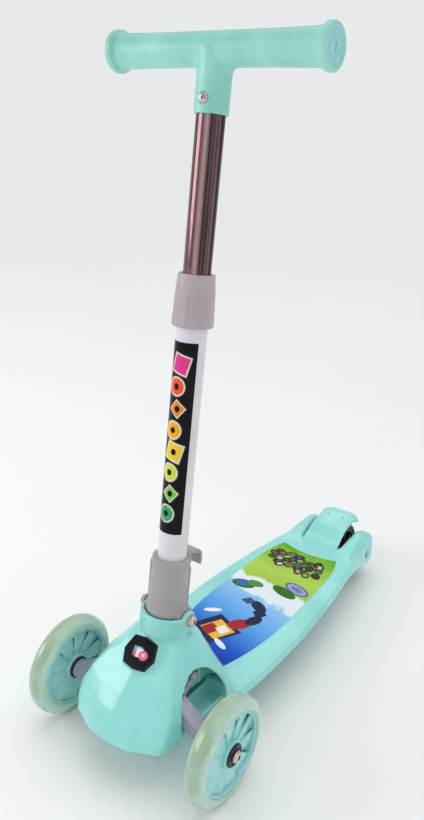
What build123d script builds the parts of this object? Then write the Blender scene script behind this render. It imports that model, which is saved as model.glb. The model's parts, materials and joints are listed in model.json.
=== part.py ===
"""Folding three-wheeled kick scooter for a small child, in millimetres.

+Z is up and the rider faces -Y, so +X is the rider's left. The parts are drawn with y = 0 on the
front axle and moved at the end, so that the origin is the bottom centre of the whole scooter.
"""
from build123d import *
import math
import os

# ---------------------------------------------------------------- driving dimensions
# overall
REAR_AXLE_Y = 474.0          # front axle to rear axle
TRACK = 222.0                # between the middles of the front wheels
DECK_TOP_Z = 65.0
DECK_HALF_WIDTH = 84.5
HANDLE_LENGTH = 240.0
HANDLE_S = 593.0             # handlebar axis, measured up the stem from its base point

# front wheels
WHEEL_R = 60.0
WHEEL_W = 24.0
RIM_R = 46.0
HUB_W = 23.0
BLADES = 7
CAP_R = 13.0
CAP_T = 2.2
# rear wheel
REAR_R = 40.0
REAR_W = 44.0
REAR_RIM_R = 31.0
REAR_HUB_W = 48.0
# wheel bearings and axles
BEARING_R = 11.0
BEARING_W = 7.0
AXLE_R = 4.0

# steering stem
STEM_Y = 41.0
STEM_Z = 140.0
LEAN = 6.2                   # degrees backwards
LOWER_TUBE_R = 15.9
UPPER_TUBE_R = 14.0
TUBE_WALL = 1.2
LOWER_TUBE_S = (24.0, 372.0)
UPPER_TUBE_S = (290.0, 575.0)
LABEL_S = (118.6, 324.6)
LABEL_ANGLE = 65.0           # half of the label's wrap, degrees
LABEL_T = 0.25
HEIGHT_TRAVEL = 130.0
COLLAR_S = (339.0, 391.5)
COLLAR_TOP_WALL = 2.9        # collar outside the lower tube, at its top and its bottom
COLLAR_BOTTOM_WALL = 6.1
T_BOSS_S = 537.0
T_BOSS_WALL = 2.6
GRIP_R = 15.6
FLANGE_R = 20.0
FLANGE_T = 8.0

# fold joint
PIVOT_Y = 45.0
PIVOT_Z = 158.5
PIVOT_R = 3.0
SLEEVE_S = (21.0, 87.0)
SLEEVE_WALL = 4.6
SLEEVE_FLANGE_T = 8.0
KNUCKLE_R = 13.0
EAR_T = 5.6
EAR_R = 9.5
LATCH_TRAVEL = 8.0
LATCH_ANGLE = 68.0           # half of the latch's wrap, degrees
HOOK_REACH = 45.0
HOOK_HALF_WIDTH = 10.0

# steering linkage
KINGPIN_X = 42.0
KINGPIN_Y = 8.0
KINGPIN_Z = 82.0
KINGPIN_TILT = 30.0
KINGPIN_R = 4.0
BARREL_R = 8.0
BARREL_H = 26.0
SPRING_ROOM = 8.0
LEVER = 32.0
TIE_PIN_R = 3.0
ARM_W = 22.0
ARM_T = 15.0

# shells
WALL = 3.0
DECK_BOTTOM_Z = 42.0
DECK_FRONT_Y = 74.0
DECK_TO_AXLE = 50.0          # deck's rear edge to the rear axle
LOBE_INNER_X = 33.0
LOBE_RISE = 12.5
RIB_T = 2.0
PRINT_T = 0.5
PRINT_PROUD = 0.1
TONGUE_T = 3.2
BRAKE_GAP = 4.5

# handlebar, its plugs and its screw
PLUG_R = 14.0
PLUG_T = 2.0
THROAT_R = 8.0
SCREW_R = 2.5
SCREW_HEAD_R = 4.6
T_SCREW_S = 550.0
T_SCREW_ANGLE = 4.0

# sliding bush, collet and collar
BUSH_H = 22.0
BUSH_RUN = 0.08
COLLET_H = 27.0
COLLET_WALL = 1.8
COLLET_LIP = 12.0
COLLAR_LID = 4.5

# latch and fold bolt
NOSE_X = 5.0
SCREW_PAN_T = 1.3
BOLT_BUSH_T = 2.0
BOLT_BUSH_R = 7.5
FOLD_NUT_T = 3.2

# front housing
# Rings are half outlines (x, y) at each height, from the nose round the left side to the rear.
HOUSING_RINGS = [
    (52, [(0, -61), (26, -58), (58, -43), (66, -15), (71, 30), (75, 74), (62, 92), (34, 100), (0, 99)]),
    (66, [(0, -57), (26, -54), (62, -38), (68, -14), (72, 30), (76, 74), (62, 90), (34, 98), (0, 97)]),
    (82, [(0, -48), (25, -44), (62, -31), (68, -9), (70, 31), (71, 71), (54, 83), (33, 90), (0, 89)]),
    (98, [(0, -35), (22, -31), (56, -20), (62, 0), (63, 34), (61, 66), (47, 76), (30, 82), (0, 81)]),
    (114, [(0, -18), (19, -14), (46, -6), (52, 11), (52, 38), (49, 61), (39, 71), (27, 76), (0, 77)]),
    (130, [(0, 0), (15, 3), (33, 9), (39, 24), (40, 43), (37, 57), (31, 66), (23, 71), (0, 73)]),
    (142, [(0, 14), (11, 16), (21, 23), (28, 33), (30, 44), (28, 54), (23, 62), (14, 68), (0, 71)]),
]
ARCH = [(-15, 66), (0, 103), (24, 114), (49, 103), (59, 72)]
BADGE_Y = -2.0
BADGE_Z = 129.6
BADGE_SLOPE = 43.0
BADGE_T = 1.8
BADGE_OUTLINE = [(0, 17.5), (15.5, 15), (20.5, -2), (14.5, -16), (0, -18.5)]
HOUSING_SCREWS = [(38, 84), (-38, 84), (30, -22), (-30, -22)]
BRIDGE_SCREWS = [(20, 2), (-20, 2), (20, 18), (-20, 18)]
POST_R = 5.5

# deck tongue and floor under the housing
TONGUE_HALF_WIDTH = 38.0
FLOOR_HALF_WIDTH = 60.0
TONGUE_TOP_Z = 52.0
TONGUE_BOTTOM_Z = 46.0

# kingpin lugs, hub bosses and small pieces
LUG_R = 9.0
PLATE_T = 3.7
HUB_BOSS_R = 11.0
HUB_BOSS_L = 15.0
TIE_T = 5.0
SPACER_R = 6.0
LIGHT_RING_R = 17.0
AXLE_HEAD_T = 4.6

# deck outline: (y, share of the half width), and the print's edge: (y, x)
DECK_SIDE = [(74, 0.915), (120, 0.98), (175, 1.0), (235, 1.0), (290, 0.96), (345, 0.90), (436, 0.79)]
PRINT_SIDE = [(102, 41), (135, 49.5), (180, 56), (240, 58), (310, 56), (369, 51), (393, 43.5)]
DECK_EDGE_Z = 58.0

# rear end
LOBE_OUTER_X = 58.0
RECESS_T = 6.0
BRAKE_SCREWS = [(-12, 0), (12, 0)]
PLATE_STEEL = 1.5

# clearances
SEAT = 0.02                  # pieces pushed together for good
RUN = 0.05                   # a shaft that turns in its hole
FREE = 0.3                   # pieces that pass each other

# ---------------------------------------------------------------- values that follow
AXLE_Z = WHEEL_R
REAR_AXLE_Z = REAR_R
TAIL_Y = REAR_AXLE_Y + 40.0
DECK_REAR_Y = REAR_AXLE_Y - DECK_TO_AXLE
WELL_CORNER_Y = REAR_AXLE_Y - 12.0
COLLAR_TOP_R = LOWER_TUBE_R + COLLAR_TOP_WALL
COLLAR_BOTTOM_R = LOWER_TUBE_R + COLLAR_BOTTOM_WALL
NOSE_Y = -62.0
LOWER_BORE_R = LOWER_TUBE_R - TUBE_WALL
SLEEVE_R = LOWER_TUBE_R + SLEEVE_WALL
SLEEVE_FLANGE_R = SLEEVE_R + 3.5
MOUTH_R = SLEEVE_FLANGE_R + 0.8
COLLAR_CUP_R = MOUTH_R + EAR_T - 0.4
EAR_X = MOUTH_R + EAR_T
T_BOSS_R = UPPER_TUBE_R + T_BOSS_WALL
BOLT_HEAD_T = 4.5
COLLET_R = LOWER_TUBE_R + COLLET_WALL
POCKET_R = LOWER_TUBE_R + 2.4
HUB_INNER_X = TRACK / 2 - HUB_W / 2
HUB_OUTER_X = TRACK / 2 + HUB_W / 2
INNER_CAP_X = HUB_INNER_X - FREE - CAP_T
OUTER_CAP_X = HUB_OUTER_X + FREE
BRAKE_HINGE_Y = DECK_REAR_Y + FREE

lean = math.radians(LEAN)
tilt = math.radians(KINGPIN_TILT)
STEM = Plane(origin=(0, STEM_Y, STEM_Z), x_dir=(1, 0, 0), z_dir=(0, math.sin(lean), math.cos(lean))).location
LINK = Plane(origin=(0, KINGPIN_Y, KINGPIN_Z), x_dir=(1, 0, 0),
             z_dir=(0, -math.sin(tilt), math.cos(tilt))).location
PIVOT_V = (PIVOT_Y - STEM_Y) * math.cos(lean) - (PIVOT_Z - STEM_Z) * math.sin(lean)
PIVOT_S = (PIVOT_Y - STEM_Y) * math.sin(lean) + (PIVOT_Z - STEM_Z) * math.cos(lean)
SWING_R = math.hypot(SLEEVE_FLANGE_R - PIVOT_V, SLEEVE_S[0] + SLEEVE_FLANGE_T - PIVOT_S) + 1.0
ROW_SHIFT_Y = -(NOSE_Y + TAIL_Y) / 2


# ---------------------------------------------------------------- helpers
def rod(radius, low, high):
    """Cylinder on the local Z axis from low to high."""
    return Pos(0, 0, low) * Cylinder(radius, high - low, align=(Align.CENTER, Align.CENTER, Align.MIN))


def ring(outer, inner, low, high):
    return rod(outer, low, high) - rod(inner, low - 1, high + 1)


def along_x(shape, y, z):
    """Turn a shape made on the Z axis to lie on X, through (0, y, z)."""
    return Pos(0, y, z) * Rot(0, 90, 0) * shape


def slab(x, y, z):
    """Box from three (low, high) pairs."""
    size = [pair[1] - pair[0] for pair in (x, y, z)]
    middle = [(pair[0] + pair[1]) / 2 for pair in (x, y, z)]
    return Pos(*middle) * Box(*size)


def turned(points):
    """Solid turned about Z from (radius, height) points."""
    return revolve(Plane.XZ * make_face(Polyline(*points, close=True)), Axis.Z)


def hexagon(across, low, high):
    shape = extrude(RegularPolygon(across / 2, 6, major_radius=False), high - low)
    return Pos(0, 0, low) * shape


def nut(across, bore, low, high):
    return hexagon(across, low, high) - rod(bore, low - 1, high + 1)


def button_screw(shank, length, head_r, head_t, socket):
    """Screw with its head's underside at 0, the shank downwards and the head upwards."""
    head = turned([(0, 0), (head_r, 0), (head_r, head_t * 0.35), (head_r * 0.8, head_t * 0.8),
                   (head_r * 0.45, head_t), (0, head_t)])
    return head + rod(shank, -length, 0) - hexagon(socket, head_t * 0.4, head_t + 1)


def both_sides(shape):
    return [shape, mirror(shape, about=Plane.YZ)]


# ---------------------------------------------------------------- handlebar and stem
def handlebar():
    half = HANDLE_LENGTH / 2
    edge = half - FLANGE_T
    grip = turned([(0, -half), (FLANGE_R - 1.5, -half), (FLANGE_R, -half + 1.5), (FLANGE_R, -edge - 1),
                   (FLANGE_R - 1.5, -edge), (GRIP_R + 1.2, -edge + 2), (GRIP_R + 0.6, -edge + 12),
                   (GRIP_R, -edge * 0.55), (GRIP_R, edge * 0.55), (GRIP_R + 0.6, edge - 12),
                   (GRIP_R + 1.2, edge - 2), (FLANGE_R - 1.5, edge), (FLANGE_R, edge + 1),
                   (FLANGE_R, half - 1.5), (FLANGE_R - 1.5, half), (0, half)])
    boss = rod(T_BOSS_R, T_BOSS_S, HANDLE_S)
    shell = boss + along_x(grip, 0, HANDLE_S)
    throat = shell.edges().filter_by(lambda e: e.geom_type not in (GeomType.LINE, GeomType.CIRCLE))
    throat = throat.filter_by(lambda e: abs(e.center().X) < T_BOSS_R + 4 and e.center().Z < HANDLE_S + 2)
    if throat:
        shell = fillet(throat, THROAT_R)
    bore = GRIP_R - 4.5
    shell -= along_x(rod(bore, -half - 1, half + 1), 0, HANDLE_S)
    shell -= along_x(rod(PLUG_R + SEAT, half - PLUG_T, half + 1), 0, HANDLE_S)
    shell -= along_x(rod(PLUG_R + SEAT, -half - 1, -half + PLUG_T), 0, HANDLE_S)
    shell -= rod(UPPER_TUBE_R + SEAT, T_BOSS_S - 1, UPPER_TUBE_S[1])
    shell -= screw_at_boss(rod(SCREW_HEAD_R + 1.2, T_BOSS_R - 1.4, T_BOSS_R + 8))
    shell -= screw_at_boss(rod(SCREW_R + SEAT, 0, T_BOSS_R + 8))
    return STEM * shell


def screw_at_boss(shape):
    """Turn a shape on Z so that it points out of the front of the T boss."""
    return Pos(0, 0, T_SCREW_S) * Rot(0, 0, T_SCREW_ANGLE) * Rot(90, 0, 0) * shape


def handlebar_screw():
    screw = button_screw(SCREW_R, 9, SCREW_HEAD_R, 2.6, 3.2)
    return STEM * screw_at_boss(Pos(0, 0, T_BOSS_R - 1.4) * screw)


def end_plug():
    bore = GRIP_R - 4.5
    half = HANDLE_LENGTH / 2
    plug = rod(PLUG_R, half - PLUG_T, half - 0.6) + rod(bore - SEAT, half - 14, half - PLUG_T)
    plug -= rod(bore - 2, half - 15, half - PLUG_T - 1.5)
    plug -= slab((-3, 3), (-0.8, 0.8), (half - 1.4, half + 1))
    return STEM * along_x(plug, 0, HANDLE_S)


def upper_tube():
    tube = ring(UPPER_TUBE_R, UPPER_TUBE_R - TUBE_WALL, *UPPER_TUBE_S)
    tube -= screw_at_boss(rod(SCREW_R + SEAT, 0, T_BOSS_R + 8))
    return STEM * tube


def upper_tube_bush():
    low = UPPER_TUBE_S[0]
    bush = ring(LOWER_BORE_R - BUSH_RUN, UPPER_TUBE_R + SEAT, low, low + BUSH_H)
    bush += ring(LOWER_BORE_R - BUSH_RUN, UPPER_TUBE_R - 2.5, low - 2.5, low)
    return STEM * bush


def collet_sleeve():
    top = LOWER_TUBE_S[1]
    collet = ring(COLLET_R, LOWER_TUBE_R + SEAT, top - COLLET_H, top)
    collet += ring(COLLET_R, UPPER_TUBE_R + RUN, top, top + 2)
    collet += ring(COLLET_R - 1, UPPER_TUBE_R + RUN, top + 2, top + COLLET_LIP)
    for turn in range(4):
        collet -= Rot(0, 0, 45 + 90 * turn) * slab((0, 30), (-0.8, 0.8), (top + 3, top + COLLET_LIP + 1))
    return STEM * collet


def height_collar():
    low, high = COLLAR_S
    inner = COLLET_R + FREE
    body = turned([(COLLAR_BOTTOM_R - 2.2, low), (COLLAR_BOTTOM_R, low + 2.6), (COLLAR_BOTTOM_R, low + 16),
                   (COLLAR_TOP_R + 0.4, high - 9), (COLLAR_TOP_R + 0.4, high - 7.6),
                   (COLLAR_TOP_R, high - 7.2), (COLLAR_TOP_R, high - 1), (COLLAR_TOP_R - 1, high),
                   (0, high), (0, low)])
    for turn in range(14):
        flat = slab((COLLAR_BOTTOM_R - 0.9, COLLAR_BOTTOM_R + 9), (-9, 9), (-2, high - low - 12))
        body -= Rot(0, 0, (turn + 0.5) * 360 / 14) * Pos(0, 0, low) * Rot(0, -2.2, 0) * flat
    body -= rod(UPPER_TUBE_R + 0.4, low - 1, high + 1)
    body -= rod(inner, low + 3, high - COLLAR_LID)
    body -= rod(LOWER_TUBE_R + FREE, low - 1, low + 4)
    return STEM * body


def lower_tube():
    tube = ring(LOWER_TUBE_R, LOWER_BORE_R, *LOWER_TUBE_S)
    tube -= sleeve_screw_place(rod(SCREW_R + SEAT, 0, SLEEVE_R + 8))
    return STEM * tube


def stem_label():
    wrap = ring(LOWER_TUBE_R + LABEL_T, LOWER_TUBE_R + SEAT / 2, *LABEL_S)
    reach = 3 * LOWER_TUBE_R
    side = math.radians(LABEL_ANGLE)
    fan = make_face(Polyline((0, 0), (-reach * math.sin(side), -reach * math.cos(side)),
                             (-reach, -2 * reach), (reach, -2 * reach),
                             (reach * math.sin(side), -reach * math.cos(side)), close=True))
    return STEM * (wrap & Pos(0, 0, LABEL_S[0] - 1) * extrude(fan, LABEL_S[1] - LABEL_S[0] + 2))


def rear_fan(half_angle, low, high):
    """Wedge that opens to the rear of the stem, in the stem's own frame."""
    reach = 90.0
    side = math.radians(half_angle)
    fan = make_face(Polyline((0, 0), (reach * math.sin(side), reach * math.cos(side)),
                             (0, 2 * reach), (-reach * math.sin(side), reach * math.cos(side)), close=True))
    return Pos(0, 0, low) * extrude(fan, high - low)


def sleeve_screw_place(shape):
    """The screw that holds the tube comes in from the rear, under the latch."""
    return Pos(0, 0, SLEEVE_S[0] + 31) * Rot(-90, 0, 0) * shape


def stem_sleeve():
    low, high = SLEEVE_S
    flange_top = low + SLEEVE_FLANGE_T
    body = turned([(0, low), (SLEEVE_FLANGE_R - 1, low), (SLEEVE_FLANGE_R, low + 1),
                   (SLEEVE_FLANGE_R, flange_top - 3), (SLEEVE_R + 1.6, flange_top), (SLEEVE_R, high - 9),
                   (SLEEVE_R, high - 6.6), (SLEEVE_R + 1, high - 6), (SLEEVE_R + 1, high - 1),
                   (SLEEVE_R, high), (0, high)])
    for side in (-1, 1):
        rib = slab((-1.2, 1.2), (-SLEEVE_R - 2.6, -SLEEVE_R + 2), (flange_top - 3, high - 7))
        body += Rot(0, 0, side * 63) * rib
    body += along_x(rod(KNUCKLE_R, -MOUTH_R + 0.5, MOUTH_R - 0.5), PIVOT_V, PIVOT_S)
    body -= rear_fan(LATCH_ANGLE + 1, flange_top, high + 1) - rod(POCKET_R, 0, high + 2)
    body -= slab((-NOSE_X - FREE, NOSE_X + FREE), (POCKET_R, SLEEVE_FLANGE_R + 5),
                 (low - 1, flange_top + 1))
    body -= rod(LOWER_TUBE_R + SEAT, LOWER_TUBE_S[0], high + 1)
    body -= along_x(rod(PIVOT_R + RUN, -60, 60), PIVOT_V, PIVOT_S)
    body -= sleeve_screw_place(rod(SCREW_R + SEAT, 0, SLEEVE_R + 8))
    body -= sleeve_screw_place(rod(SCREW_HEAD_R + SEAT, POCKET_R - SCREW_PAN_T, SLEEVE_R + 8))
    return STEM * body


def fold_latch():
    low, high = SLEEVE_S
    flange_top = low + SLEEVE_FLANGE_T
    inner = POCKET_R + FREE
    shell = turned([(inner, flange_top + 0.5), (SLEEVE_R + 1.4, flange_top + 0.5), (SLEEVE_R, high - 9),
                    (SLEEVE_R, high - 6.6), (SLEEVE_R + 1, high - 6), (SLEEVE_R + 1, high - 1),
                    (SLEEVE_R, high), (inner, high)])
    shell = shell & rear_fan(LATCH_ANGLE, low, high + 2)
    hook = make_face(Polyline((inner, high), (SLEEVE_R + 8, high - 0.5), (HOOK_REACH - 6, high - 3),
                              (HOOK_REACH - 1, high - 8), (HOOK_REACH, high - 14), (HOOK_REACH, high - 23),
                              (HOOK_REACH - 3, high - 23), (HOOK_REACH - 3.4, high - 14),
                              (HOOK_REACH - 5.4, high - 9), (HOOK_REACH - 9, high - 6.4),
                              (SLEEVE_R + 6, high - 4), (inner, high - 4), close=True))
    shell += extrude(Plane.YZ * hook, HOOK_HALF_WIDTH, both=True)
    ribs = 9
    for step in range(ribs):
        at = flange_top + 5 + step * (high - 16 - flange_top - 5) / (ribs - 1)
        bead = ring(SLEEVE_R + 1.9, inner + 0.6, at, at + 1.6) & rear_fan(LATCH_ANGLE - 6, low, high)
        shell += bead - rear_fan(28, low, high)
    nose = slab((-NOSE_X, NOSE_X), (inner, SLEEVE_R), (low - 3, flange_top + 2))
    return STEM * (shell + nose)


def sleeve_screw():
    """Flat screw that holds the lower tube in the sleeve, hidden by the latch."""
    head = rod(SCREW_HEAD_R, 0, SCREW_PAN_T - FREE) - hexagon(2.5, 0.3, 3)
    screw = head + rod(SCREW_R, LOWER_BORE_R - POCKET_R + SCREW_PAN_T - 1.5, 0)
    return STEM * sleeve_screw_place(Pos(0, 0, POCKET_R - SCREW_PAN_T) * screw)


# ---------------------------------------------------------------- fold bolt


def fold_bushes():
    bush = ring(BOLT_BUSH_R, PIVOT_R + RUN, EAR_X, EAR_X + BOLT_BUSH_T)
    bush += ring(PIVOT_R + 1.5, PIVOT_R + RUN, MOUTH_R + 0.1, EAR_X)
    return both_sides(along_x(bush, PIVOT_Y, PIVOT_Z))


def fold_bolt():
    seat = EAR_X + BOLT_BUSH_T
    bolt = Pos(0, 0, seat) * button_screw(PIVOT_R, 2 * seat + FOLD_NUT_T + 0.6, 6.2, BOLT_HEAD_T, 4)
    return along_x(bolt, PIVOT_Y, PIVOT_Z)


def fold_nut():
    seat = EAR_X + BOLT_BUSH_T
    piece = nut(10, PIVOT_R + SEAT, -seat - FOLD_NUT_T, -seat)
    return along_x(piece, PIVOT_Y, PIVOT_Z)


# ---------------------------------------------------------------- front housing


def inset(points, distance):
    """Closed outline moved inwards by a distance, corner by corner."""
    moved = []
    for index, corner in enumerate(points):
        before = points[index - 1]
        after = points[(index + 1) % len(points)]
        first = math.atan2(corner[1] - before[1], corner[0] - before[0])
        second = math.atan2(after[1] - corner[1], after[0] - corner[0])
        middle = (first + second) / 2
        if abs(first - second) > math.pi:
            middle += math.pi
        reach = distance / max(math.cos((second - first) / 2), 0.5)
        moved.append((corner[0] - reach * math.sin(middle), corner[1] + reach * math.cos(middle)))
    return moved


def housing_outline(half, wall):
    wide = DECK_HALF_WIDTH / 84.5
    right = [(x * wide, y) for x, y in half]
    left = [(-x, y) for x, y in reversed(right[1:-1])]
    return inset(right + left, wall) if wall else right + left


def housing_body(wall):
    sections = []
    for z, half in HOUSING_RINGS:
        height = z
        if wall and z == HOUSING_RINGS[0][0]:
            height = z - 6
        if wall and z == HOUSING_RINGS[-1][0]:
            height = z - wall - 1
        outline = Polyline(*housing_outline(half, wall), close=True)
        sections.append(Pos(0, 0, height) * make_face(outline))
    return loft(sections, ruled=True)


def wheel_arch():
    front, front_mid, top, rear_mid, rear = ARCH
    outline = Polyline((front[0], 30), front)
    outline += ThreePointArc(front, front_mid, top)
    outline += ThreePointArc(top, rear_mid, rear)
    outline += Polyline(rear, (rear[0], 30), (front[0], 30))
    return Pos(34, 0, 0) * extrude(Plane.YZ * make_face(outline), 80)


def badge_place():
    slope = math.radians(BADGE_SLOPE)
    return Plane(origin=(0, BADGE_Y, BADGE_Z), x_dir=(1, 0, 0),
                 z_dir=(0, -math.sin(slope), math.cos(slope))).location


def badge_face(grow):
    half = BADGE_OUTLINE
    points = half + [(-x, y) for x, y in reversed(half[1:-1])]
    face = make_face(Polyline(*inset(points[::-1], -grow), close=True))
    return fillet(face.vertices(), 2.5)


def badge():
    plate = extrude(badge_face(0), BADGE_T)
    plate -= Pos(0, 0, BADGE_T - 0.5) * extrude(badge_face(-1.6), 2)
    for x, y in ((-12, 9.5), (12, 9.5), (-11, -9.5), (11, -9.5)):
        plate += Pos(x, y, BADGE_T - 0.6) * Cylinder(0.9, 0.8, align=(Align.CENTER, Align.CENTER, Align.MIN))
    return badge_place() * plate


def front_housing():
    body = housing_body(0)
    cavity = housing_body(WALL)
    under_deck = slab((-100, 100), (DECK_FRONT_Y - FREE, 140), (0, DECK_TOP_Z))
    pad = badge_place() * Pos(0, 0, -5) * extrude(badge_face(1.2), 5)
    shell = body + pad - cavity
    posts = []
    for x, y in HOUSING_SCREWS:
        foot = DECK_TOP_Z if y > DECK_FRONT_Y else TONGUE_TOP_Z
        posts.append(Pos(x, y, foot) * rod(POST_R, 0, 70) & body)
    for x in (-34, 34):
        posts.append(slab((x - 1.5, x + 1.5), (46, 82), (DECK_TOP_Z + 1, 136)) & body)
    for post in posts:
        shell += post
    for arch in both_sides(wheel_arch()):
        shell -= arch
    shell -= under_deck
    cup = rod(COLLAR_CUP_R, -12, SLEEVE_S[0] + 1.5)
    cup = fillet(cup.edges().sort_by(Axis.Z)[-1], 1.5)
    shell += STEM * cup
    for ear in both_sides(rod(EAR_R, 15, EAR_X)):
        shell += STEM * along_x(ear, PIVOT_V, PIVOT_S)
    shell -= badge_place() * extrude(badge_face(0), 12)
    reach = 90.0
    behind = slab((-MOUTH_R, MOUTH_R), (PIVOT_V, reach), (PIVOT_S - SWING_R, PIVOT_S + 40))
    swing = behind + along_x(rod(KNUCKLE_R + 1, -MOUTH_R, MOUTH_R), PIVOT_V, PIVOT_S)
    swing += rod(MOUTH_R, PIVOT_S - 6, PIVOT_S + 40)
    shell -= STEM * swing
    shell -= along_x(rod(PIVOT_R + 1.5 + SEAT, -60, 60), PIVOT_Y, PIVOT_Z)
    for dimple in both_sides(along_x(rod(3.6, COLLAR_CUP_R - 3, 50), PIVOT_Y, PIVOT_Z - 17.5)):
        shell -= dimple
    for x, y in HOUSING_SCREWS:
        shell -= Pos(x, y, 0) * rod(SCREW_R + SEAT, 30, 80)
    return shell


def screw_from_below(x, y, seat, length):
    return Pos(x, y, seat) * Rot(180, 0, 0) * button_screw(SCREW_R, length, SCREW_HEAD_R, 2.6, 3.2)


def housing_screws():
    screws = []
    for x, y in HOUSING_SCREWS:
        seat = DECK_TOP_Z - WALL if y > DECK_FRONT_Y else TONGUE_BOTTOM_Z
        screws.append(screw_from_below(x, y, seat, 15))
    return screws


def bridge_screws():
    return [screw_from_below(x, y, TONGUE_BOTTOM_Z, 16) for x, y in BRIDGE_SCREWS]


# ---------------------------------------------------------------- steering linkage


def lug_plate(low):
    plate = slab((-KINGPIN_X, KINGPIN_X), (-LUG_R, LUG_R), (low, low + PLATE_T))
    for x in (-KINGPIN_X, KINGPIN_X):
        plate += Pos(x, 0, 0) * rod(LUG_R, low, low + PLATE_T)
        plate -= Pos(x, 0, 0) * rod(KINGPIN_R + SEAT, low - 1, low + PLATE_T + 1)
    return plate


def kingpin_bridge():
    gap = BARREL_H / 2 + FREE
    frame = lug_plate(gap) + lug_plate(-gap - PLATE_T)
    frame += slab((-28, 28), (-LUG_R, -LUG_R + 4), (-gap - 1, gap + 1))
    below = LINK * slab((-60, 60), (-60, 60), (-60, -gap - 0.5))
    pedestal = slab((-27, 27), (-6, 26), (TONGUE_TOP_Z, KINGPIN_Z + 20)) & below
    frame = LINK * frame + pedestal
    for x, y in BRIDGE_SCREWS:
        frame -= Pos(x, y, 0) * rod(SCREW_R + SEAT, 30, TONGUE_TOP_Z + 12)
    return frame


def kingpin():
    gap = BARREL_H / 2 + FREE + PLATE_T
    pin = rod(KINGPIN_R, -gap - 6, gap) + rod(6.5, gap, gap + 2.6)
    return LINK * Pos(KINGPIN_X, 0, 0) * pin


def kingpin_nut():
    gap = BARREL_H / 2 + FREE + PLATE_T
    return LINK * Pos(KINGPIN_X, 0, 0) * nut(11, KINGPIN_R + SEAT, -gap - 5, -gap)


def steering_arm():
    half = BARREL_H / 2
    barrel_top = half - SPRING_ROOM
    boss_end = INNER_CAP_X
    boss_start = boss_end - HUB_BOSS_L
    start = (KINGPIN_X + 3, 2.0, KINGPIN_Z + 4.5)
    end = (boss_start + 6, 0.5, AXLE_Z + 1)
    run = Vector(*end) - Vector(*start)
    bar_frame = Plane(origin=start, x_dir=(0, 1, 0), z_dir=tuple(run.normalized())).location
    section = RectangleRounded(ARM_W, ARM_T, 4.5)
    bar = bar_frame * extrude(section, run.length)
    envelope = LINK * Pos(KINGPIN_X, 0, 0) * (rod(LUG_R + 0.8, barrel_top, 60) + rod(LUG_R + 0.8, -60, -half))
    arm = bar - envelope
    arm += LINK * Pos(KINGPIN_X, 0, 0) * rod(BARREL_R, -half, barrel_top)
    lever = slab((KINGPIN_X - 5, KINGPIN_X + 5), (0, LEVER), (-4, 4))
    lever += Pos(KINGPIN_X, LEVER, 0) * rod(6.5, -4, 4)
    arm += LINK * lever
    arm += along_x(rod(HUB_BOSS_R, boss_start, boss_end), 0, AXLE_Z)
    arm -= LINK * Pos(KINGPIN_X, 0, 0) * rod(KINGPIN_R + RUN, -60, 60)
    arm -= LINK * Pos(KINGPIN_X, LEVER, 0) * rod(TIE_PIN_R + SEAT, -20, 20)
    arm -= along_x(rod(AXLE_R + SEAT, boss_start - 30, boss_end + 1), 0, AXLE_Z)
    arm -= along_x(hexagon(13.4, boss_start - 30, boss_start + 4), 0, AXLE_Z)
    return arm


def torsion_spring():
    wire = 0.8
    low = BARREL_H / 2 - SPRING_ROOM + FREE + wire
    high = BARREL_H / 2 - FREE - wire
    path = Helix(pitch=(high - low) / 3.5, height=high - low, radius=6.4)
    coil = sweep(Plane(origin=path @ 0, z_dir=path % 0) * Circle(wire), path=path, is_frenet=True)
    return LINK * Pos(KINGPIN_X, 0, low) * coil


def tie_pin():
    pin = rod(TIE_PIN_R, -6, 4 + FREE + TIE_T + FREE) + rod(5, 4 + 2 * FREE + TIE_T, 7 + 2 * FREE + TIE_T)
    pin += rod(4.6, -6, -4)
    return LINK * Pos(KINGPIN_X, LEVER, 0) * pin


def tie_rod():
    low = 4 + FREE
    bar = slab((-KINGPIN_X, KINGPIN_X), (LEVER - 5, LEVER + 5), (low, low + TIE_T))
    for x, clearance in ((KINGPIN_X, RUN), (-KINGPIN_X, FREE)):
        bar += Pos(x, LEVER, 0) * rod(7, low, low + TIE_T)
        bar -= Pos(x, LEVER, 0) * rod(TIE_PIN_R + clearance, low - 1, low + TIE_T + 1)
    return LINK * bar


# ---------------------------------------------------------------- wheels
def tyre_solid(radius, rim, width, shoulder):
    half = width / 2
    crown = shoulder * 0.45
    outline = Polyline((rim, -half + 1), (radius - shoulder, -half))
    outline += ThreePointArc((radius - shoulder, -half), (radius - crown, -half * 0.72), (radius, 0))
    outline += ThreePointArc((radius, 0), (radius - crown, half * 0.72), (radius - shoulder, half))
    outline += Polyline((radius - shoulder, half), (rim, half - 1), (rim, -half + 1))
    return revolve(Plane.XZ * make_face(outline), Axis.Z)


def front_tyre():
    return along_x(Pos(0, 0, TRACK / 2) * tyre_solid(WHEEL_R, RIM_R + SEAT, WHEEL_W, 9), 0, AXLE_Z)


def bearing_seats(hub_width, boss):
    """Hub core on Z, centred on 0, with a seat for a bearing at each end."""
    half = hub_width / 2
    core = ring(boss, BEARING_R - 2, -half, half)
    for low, high in ((half - BEARING_W, half + 1), (-half - 1, -half + BEARING_W)):
        core -= rod(BEARING_R + SEAT, low, high)
    return core


def front_hub():
    half = HUB_W / 2
    boss = BEARING_R + 3.5
    hub = ring(RIM_R, RIM_R - 3, -half + 1.5, half - 1.5) + bearing_seats(HUB_W, boss)
    hub += ring(RIM_R - 1, boss - 1, -1.2, 1.2)
    blade = slab((boss - 1, RIM_R - 1.5), (-1.6, 1.6), (-half + 3, half - 3))
    for turn in range(BLADES):
        hub += Rot(0, 0, turn * 360 / BLADES) * Rot(24, 0, 0) * blade
    hub -= ring(LIGHT_RING_R + SEAT, boss, 1.2, half + 1)
    return along_x(Pos(0, 0, TRACK / 2) * hub, 0, AXLE_Z)


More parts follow.
